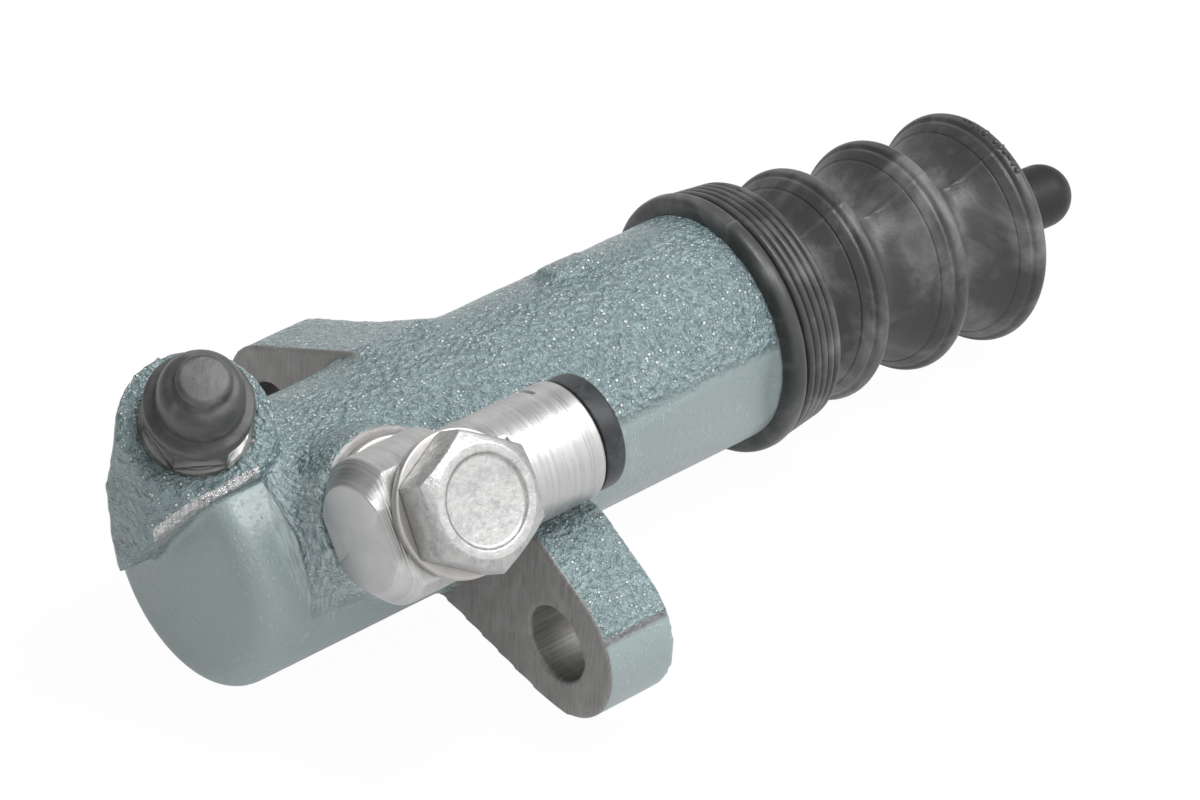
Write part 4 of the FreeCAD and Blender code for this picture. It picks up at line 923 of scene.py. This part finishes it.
def bellows_shape(angle):
    """Bellows: three bells with a bead at each crest, closed by the lip that grips the rod."""
    outside = [(-0.6, 9.3, 0.0)]
    inside = []
    for crest in BELLOWS_CRESTS:
        outside += [(crest - 7.3, 9.3, 0.8), (crest - 4.6, 10.75, 0.8), (crest - 3.1, 11.95, 0.5),
                    (crest - 2.55, 12.42, 0.05), (crest - 2.45, 12.38, 0.05),
                    (crest - 2.35, 12.62, 0.05), (crest - 1.45, 13.45, 0.2),
                    (crest - 1.15, 13.5, 0.15), (crest - 0.85, 14.05, 0.35),
                    (crest, 14.3, 0.5), (crest + 0.75, 13.95, 0.45)]
        inside = [(crest + 0.3, 12.5, 0.5), (crest - 0.6, 12.5, 0.4),
                  (crest - 6.9, 7.9, 0.5)] + inside
        if crest != BELLOWS_CRESTS[-1]:
            outside += [(crest + 1.2, 12.3, 0.8), (crest + 2.6, 10.3, 0.8), (crest + 4.2, 9.3, 0.6)]
            inside = [(crest + 4.4, 7.9, 0.5)] + inside
    outside += [(35.75, 12.6, 0.5), (36.15, 8.0, 0.8), (36.5, 5.25, 0.7), (38.5, 5.25, 0.5),
                (38.5, 4.1, 0.3), (35.2, 4.1, 0.3), (35.0, 7.0, 0.0)]
    lift = 0.16 if abs(angle - BELLOWS_SEAM) < 0.002 else 0.0
    outer = [Vector((along, radius + (lift if radius > 9.5 else 0.0)))
             for along, radius in rounded(outside)]
    return outer + rounded(inside + [(-0.6, 7.9, 0.0)])


class CYLINDER_OT_metal(bpy.types.Operator):
    """Makes the union, bolt, gaskets and return spring, and finishes the other metal pieces"""

    bl_idname = "cylinder.metal"
    bl_label = "Metal Pieces"

    def execute(self, context):
        finish = context.scene.cylinder_finish
        groups = shared_groups()
        steel = (finish.steel_dark, finish.steel)
        tube = turned_metal_material("turned_union", groups, (UNION, FORWARD, 4200.0, 60.0),
                                     0.31, 0.00025, *steel)
        union = turned("union", union_shape, UNION, FORWARD, around(192))
        drill = turned("bolt_hole", lambda angle: rounded([(19.0, 0.0, 0.0), (19.0, 5.4, 0.0),
                                                           (33.0, 5.4, 0.0), (33.0, 0.0, 0.0)]),
                       PORT, PORT_DIRECTION, around(64))
        hole = union.modifiers.new("bolt_hole", "BOOLEAN")
        hole.operation = "DIFFERENCE"
        hole.object = drill
        applied(union)
        bpy.data.objects.remove(drill)
        finished(union, tube, "cylinder", ("hose_union",))
        plated = worn_zinc_material(finish, groups)
        bolt = turned("bolt", bolt_shape, PORT, PORT_DIRECTION, around(96, math.radians(27.0)))
        finished(bolt, plated, "cylinder", ("union_bolt",))
        screw = turned_metal_material(
            "plated_screw", groups, (BLEEDER, BLEEDER_DIRECTION, 900.0, 200.0), 0.3, 0.00008,
            *steel)
        rod = turned_metal_material(
            "dark_rod", groups, (BORE_AXIS, FORWARD, 500.0, 60.0), 0.42, 0.00005,
            finish.black_oxide, finish.black_oxide, 0.3)
        piston = turned_metal_material(
            "turned_piston", groups, (BORE_AXIS, FORWARD, 2500.0, 60.0), 0.28, 0.00006, *steel)
        dress("bleeder_screw", screw)
        dress("push_rod", rod)
        for node in ("piston", "stop_ring", "valve_plate", "valve_spring"):
            dress(node, piston)
        spring = merged_copy("conical_spring", "return_spring")
        finished(spring, piston, "cylinder", ("conical_spring",))
        ends = corners(spring.data)[:, 0]
        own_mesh(spring)
        gasket, tree, shader = blank_material("soft_gasket")
        spots = use(tree, groups["smudges"], Scale=400.0, Low=0.35, High=0.7)
        colour = blend_colours(tree, spots["Mask"], opaque(finish.copper),
                               opaque(finish.steel_dark))
        feed(tree, shader, {"Base Color": colour, "Metallic": 1.0, "Roughness": 0.42})
        for node, low in (("lower_gasket", 19.2), ("upper_gasket", 31.4)):
            ring = turned(node + "_ring", lambda angle: rounded([
                (low, 5.1, 0.1), (low, 8.2, 0.35), (low + 1.2, 8.2, 0.35), (low + 1.2, 5.1, 0.1)]),
                PORT, PORT_DIRECTION, around(96))
            finished(ring, gasket, "cylinder", (node,))
        return {"FINISHED"}


class CYLINDER_OT_rubber(bpy.types.Operator):
    """Makes the boot, the bleeder cap and the plug, and finishes the cups"""

    bl_idname = "cylinder.rubber"
    bl_label = "Rubber Pieces"

    def execute(self, context):
        finish = context.scene.cylinder_finish
        groups = shared_groups()
        boot = rubber_material("boot_rubber", finish, groups, finish.rubber, 0.85, 0.36)
        foot = Vector((0.0, BORE_AXIS.y, BORE_AXIS.z))
        collar = turned("boot_collar", collar_shape, foot, FORWARD, around(160, 0.0, COLLAR_SEAM))
        finished(collar, boot, "cylinder", ("dust_boot",))
        ribs = grown("boot_ribs", rib_group(), Material=boot)
        stood_on(ribs, foot + FORWARD * 0.0500, FORWARD)
        finished(ribs, boot, "cylinder")
        bellows = turned("boot_bellows", bellows_shape, BEND, BELLOWS_DIRECTION,
                         around(160, 0.0, BELLOWS_SEAM))
        finished(bellows, boot, "push_rod", crease=50.0)
        flash = grown("boot_flash", flash_group(), Material=boot)
        stood_on(flash, BEND + BELLOWS_DIRECTION * 0.0346, BELLOWS_DIRECTION)
        finished(flash, boot, "push_rod")
        for piece in (bellows, flash):
            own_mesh(piece)
        rubber = rubber_material("cap_rubber", finish, groups, finish.cap, 0.5, 0.38, 300.0)
        cap = turned("cap", cap_shape, BLEEDER, BLEEDER_DIRECTION, around(96))
        finished(cap, rubber, "bleeder_cap", ("bleeder_cap",))
        dark = rubber_material("plug_rubber", finish, groups, finish.plug, 0.25, 0.42, 300.0)
        plug = turned("plug", plug_shape, UNION, FORWARD, around(96))
        finished(plug, dark, "port_plug", ("port_plug",))
        for node in ("primary_cup", "secondary_cup"):
            dress(node, dark)
        return {"FINISHED"}


class CYLINDER_OT_stage(bpy.types.Operator):
    """Sets up the floor, the white tent, the lamps and the camera"""

    bl_idname = "cylinder.stage"
    bl_label = "Stage"

    def execute(self, context):
        values = context.scene.cylinder_stage
        scene = context.scene
        scene.view_settings.view_transform = "Standard"
        low = CAD_BOX[0].z
        mesh = bpy.data.meshes.new("floor")
        mesh.from_pydata([(-1.5, -1.5, low), (1.5, -1.5, low), (1.5, 1.5, low), (-1.5, 1.5, low)],
                         [], [(0, 1, 2, 3)])
        floor = bpy.data.objects.new("floor", mesh)
        scene.collection.objects.link(floor)
        material, tree, shader = blank_material("floor")
        feed(tree, shader, {"Base Color": opaque(values.floor), "Roughness": 0.9,
                            "Specular IOR Level": 0.1})
        seen = add(tree, "ShaderNodeLightPath")
        glow = add(tree, "ShaderNodeEmission", {"Color": (1.0, 1.0, 1.0, 1.0), "Strength": 1.0})
        mirrored = product(tree, seen.outputs["Is Glossy Ray"], 0.6)
        either = calc(tree, "MAXIMUM", seen.outputs["Is Camera Ray"], mirrored)
        both = add(tree, "ShaderNodeMixShader", {0: product(tree, either, values.floor_glow),
                                                 1: shader.outputs[0], 2: glow.outputs[0]})
        tree.links.new(both.outputs[0], tree.nodes["Material Output"].inputs["Surface"])
        mesh.materials.append(material)

        world = bpy.data.worlds.new("tent")
        scene.world = world
        world.use_nodes = True
        tree = world.node_tree
        tree.nodes.clear()
        path = add(tree, "ShaderNodeLightPath")
        clear = calc(tree, "MAXIMUM", path.outputs["Is Camera Ray"],
                     path.outputs["Is Transmission Ray"])
        way = add(tree, "ShaderNodeTexCoord").outputs["Generated"]
        toward = vectors(tree, "DOT_PRODUCT", way, Vector((0.55, -0.45, 0.70)).normalized())
        seen = mapped(tree, toward.outputs["Value"], -0.5, 0.95, values.mirror_low,
                      values.mirror_high)
        plain = add(tree, "ShaderNodeMix", {0: path.outputs["Is Glossy Ray"], 2: values.sky,
                                            3: seen}, data_type="FLOAT")
        strength = add(tree, "ShaderNodeMix", {0: clear, 2: plain.outputs[0], 3: 1.0},
                       data_type="FLOAT")
        back = add(tree, "ShaderNodeBackground", {"Color": (1.0, 1.0, 1.0, 1.0),
                                                  "Strength": strength.outputs[0]})
        add(tree, "ShaderNodeOutputWorld", {"Surface": back.outputs[0]})

        middle = Vector((0.03, 0.0, 0.005))
        for name, way, power, width in LAMPS:
            lamp = bpy.data.lights.new(name, "AREA")
            lamp.energy = values.lamp * power
            lamp.size = width
            thing = bpy.data.objects.new(name, lamp)
            direction = Vector(way).normalized()
            thing.location = middle + direction * LAMP_DISTANCE
            thing.rotation_euler = direction.to_track_quat("Z", "Y").to_euler()
            scene.collection.objects.link(thing)

        camera = bpy.data.cameras.new("camera")
        camera.lens = values.lens
        camera.sensor_width = 36.0
        camera.clip_start = 0.01
        camera.clip_end = 10.0
        thing = bpy.data.objects.new("camera", camera)
        turn = Matrix((CAMERA_RIGHT, CAMERA_UP, CAMERA_BACK)).transposed().to_4x4()
        thing.matrix_world = Matrix.Translation(CAMERA) @ turn
        scene.collection.objects.link(thing)
        scene.camera = thing
        return {"FINISHED"}


class CYLINDER_PT_panel(bpy.types.Panel):
    """Lists the steps that dress the cylinder"""

    bl_idname = "CYLINDER_PT_panel"
    bl_label = "Clutch Slave Cylinder"
    bl_space_type = "VIEW_3D"
    bl_region_type = "UI"
    bl_category = "Cylinder"

    def draw(self, context):
        for step in STEPS:
            self.layout.operator(step.bl_idname)
        for group in (context.scene.cylinder_finish, context.scene.cylinder_casting,
                      context.scene.cylinder_stage):
            box = self.layout.box()
            for name in group.__annotations__:
                box.prop(group, name)


STEPS = (CYLINDER_OT_casting, CYLINDER_OT_metal, CYLINDER_OT_rubber, CYLINDER_OT_stage)
CLASSES = (CylinderFinish, CylinderCasting, CylinderStage) + STEPS + (CYLINDER_PT_panel,)


def register():
    for kind in CLASSES:
        bpy.utils.register_class(kind)
    bpy.types.Scene.cylinder_finish = PointerProperty(type=CylinderFinish)
    bpy.types.Scene.cylinder_casting = PointerProperty(type=CylinderCasting)
    bpy.types.Scene.cylinder_stage = PointerProperty(type=CylinderStage)


def unregister():
    del bpy.types.Scene.cylinder_stage
    del bpy.types.Scene.cylinder_casting
    del bpy.types.Scene.cylinder_finish
    for kind in reversed(CLASSES):
        bpy.utils.unregister_class(kind)


def main():
    register()
    bpy.ops.cylinder.casting()
    bpy.ops.cylinder.metal()
    bpy.ops.cylinder.rubber()
    bpy.ops.cylinder.stage()


if __name__ == "__main__":
    main()
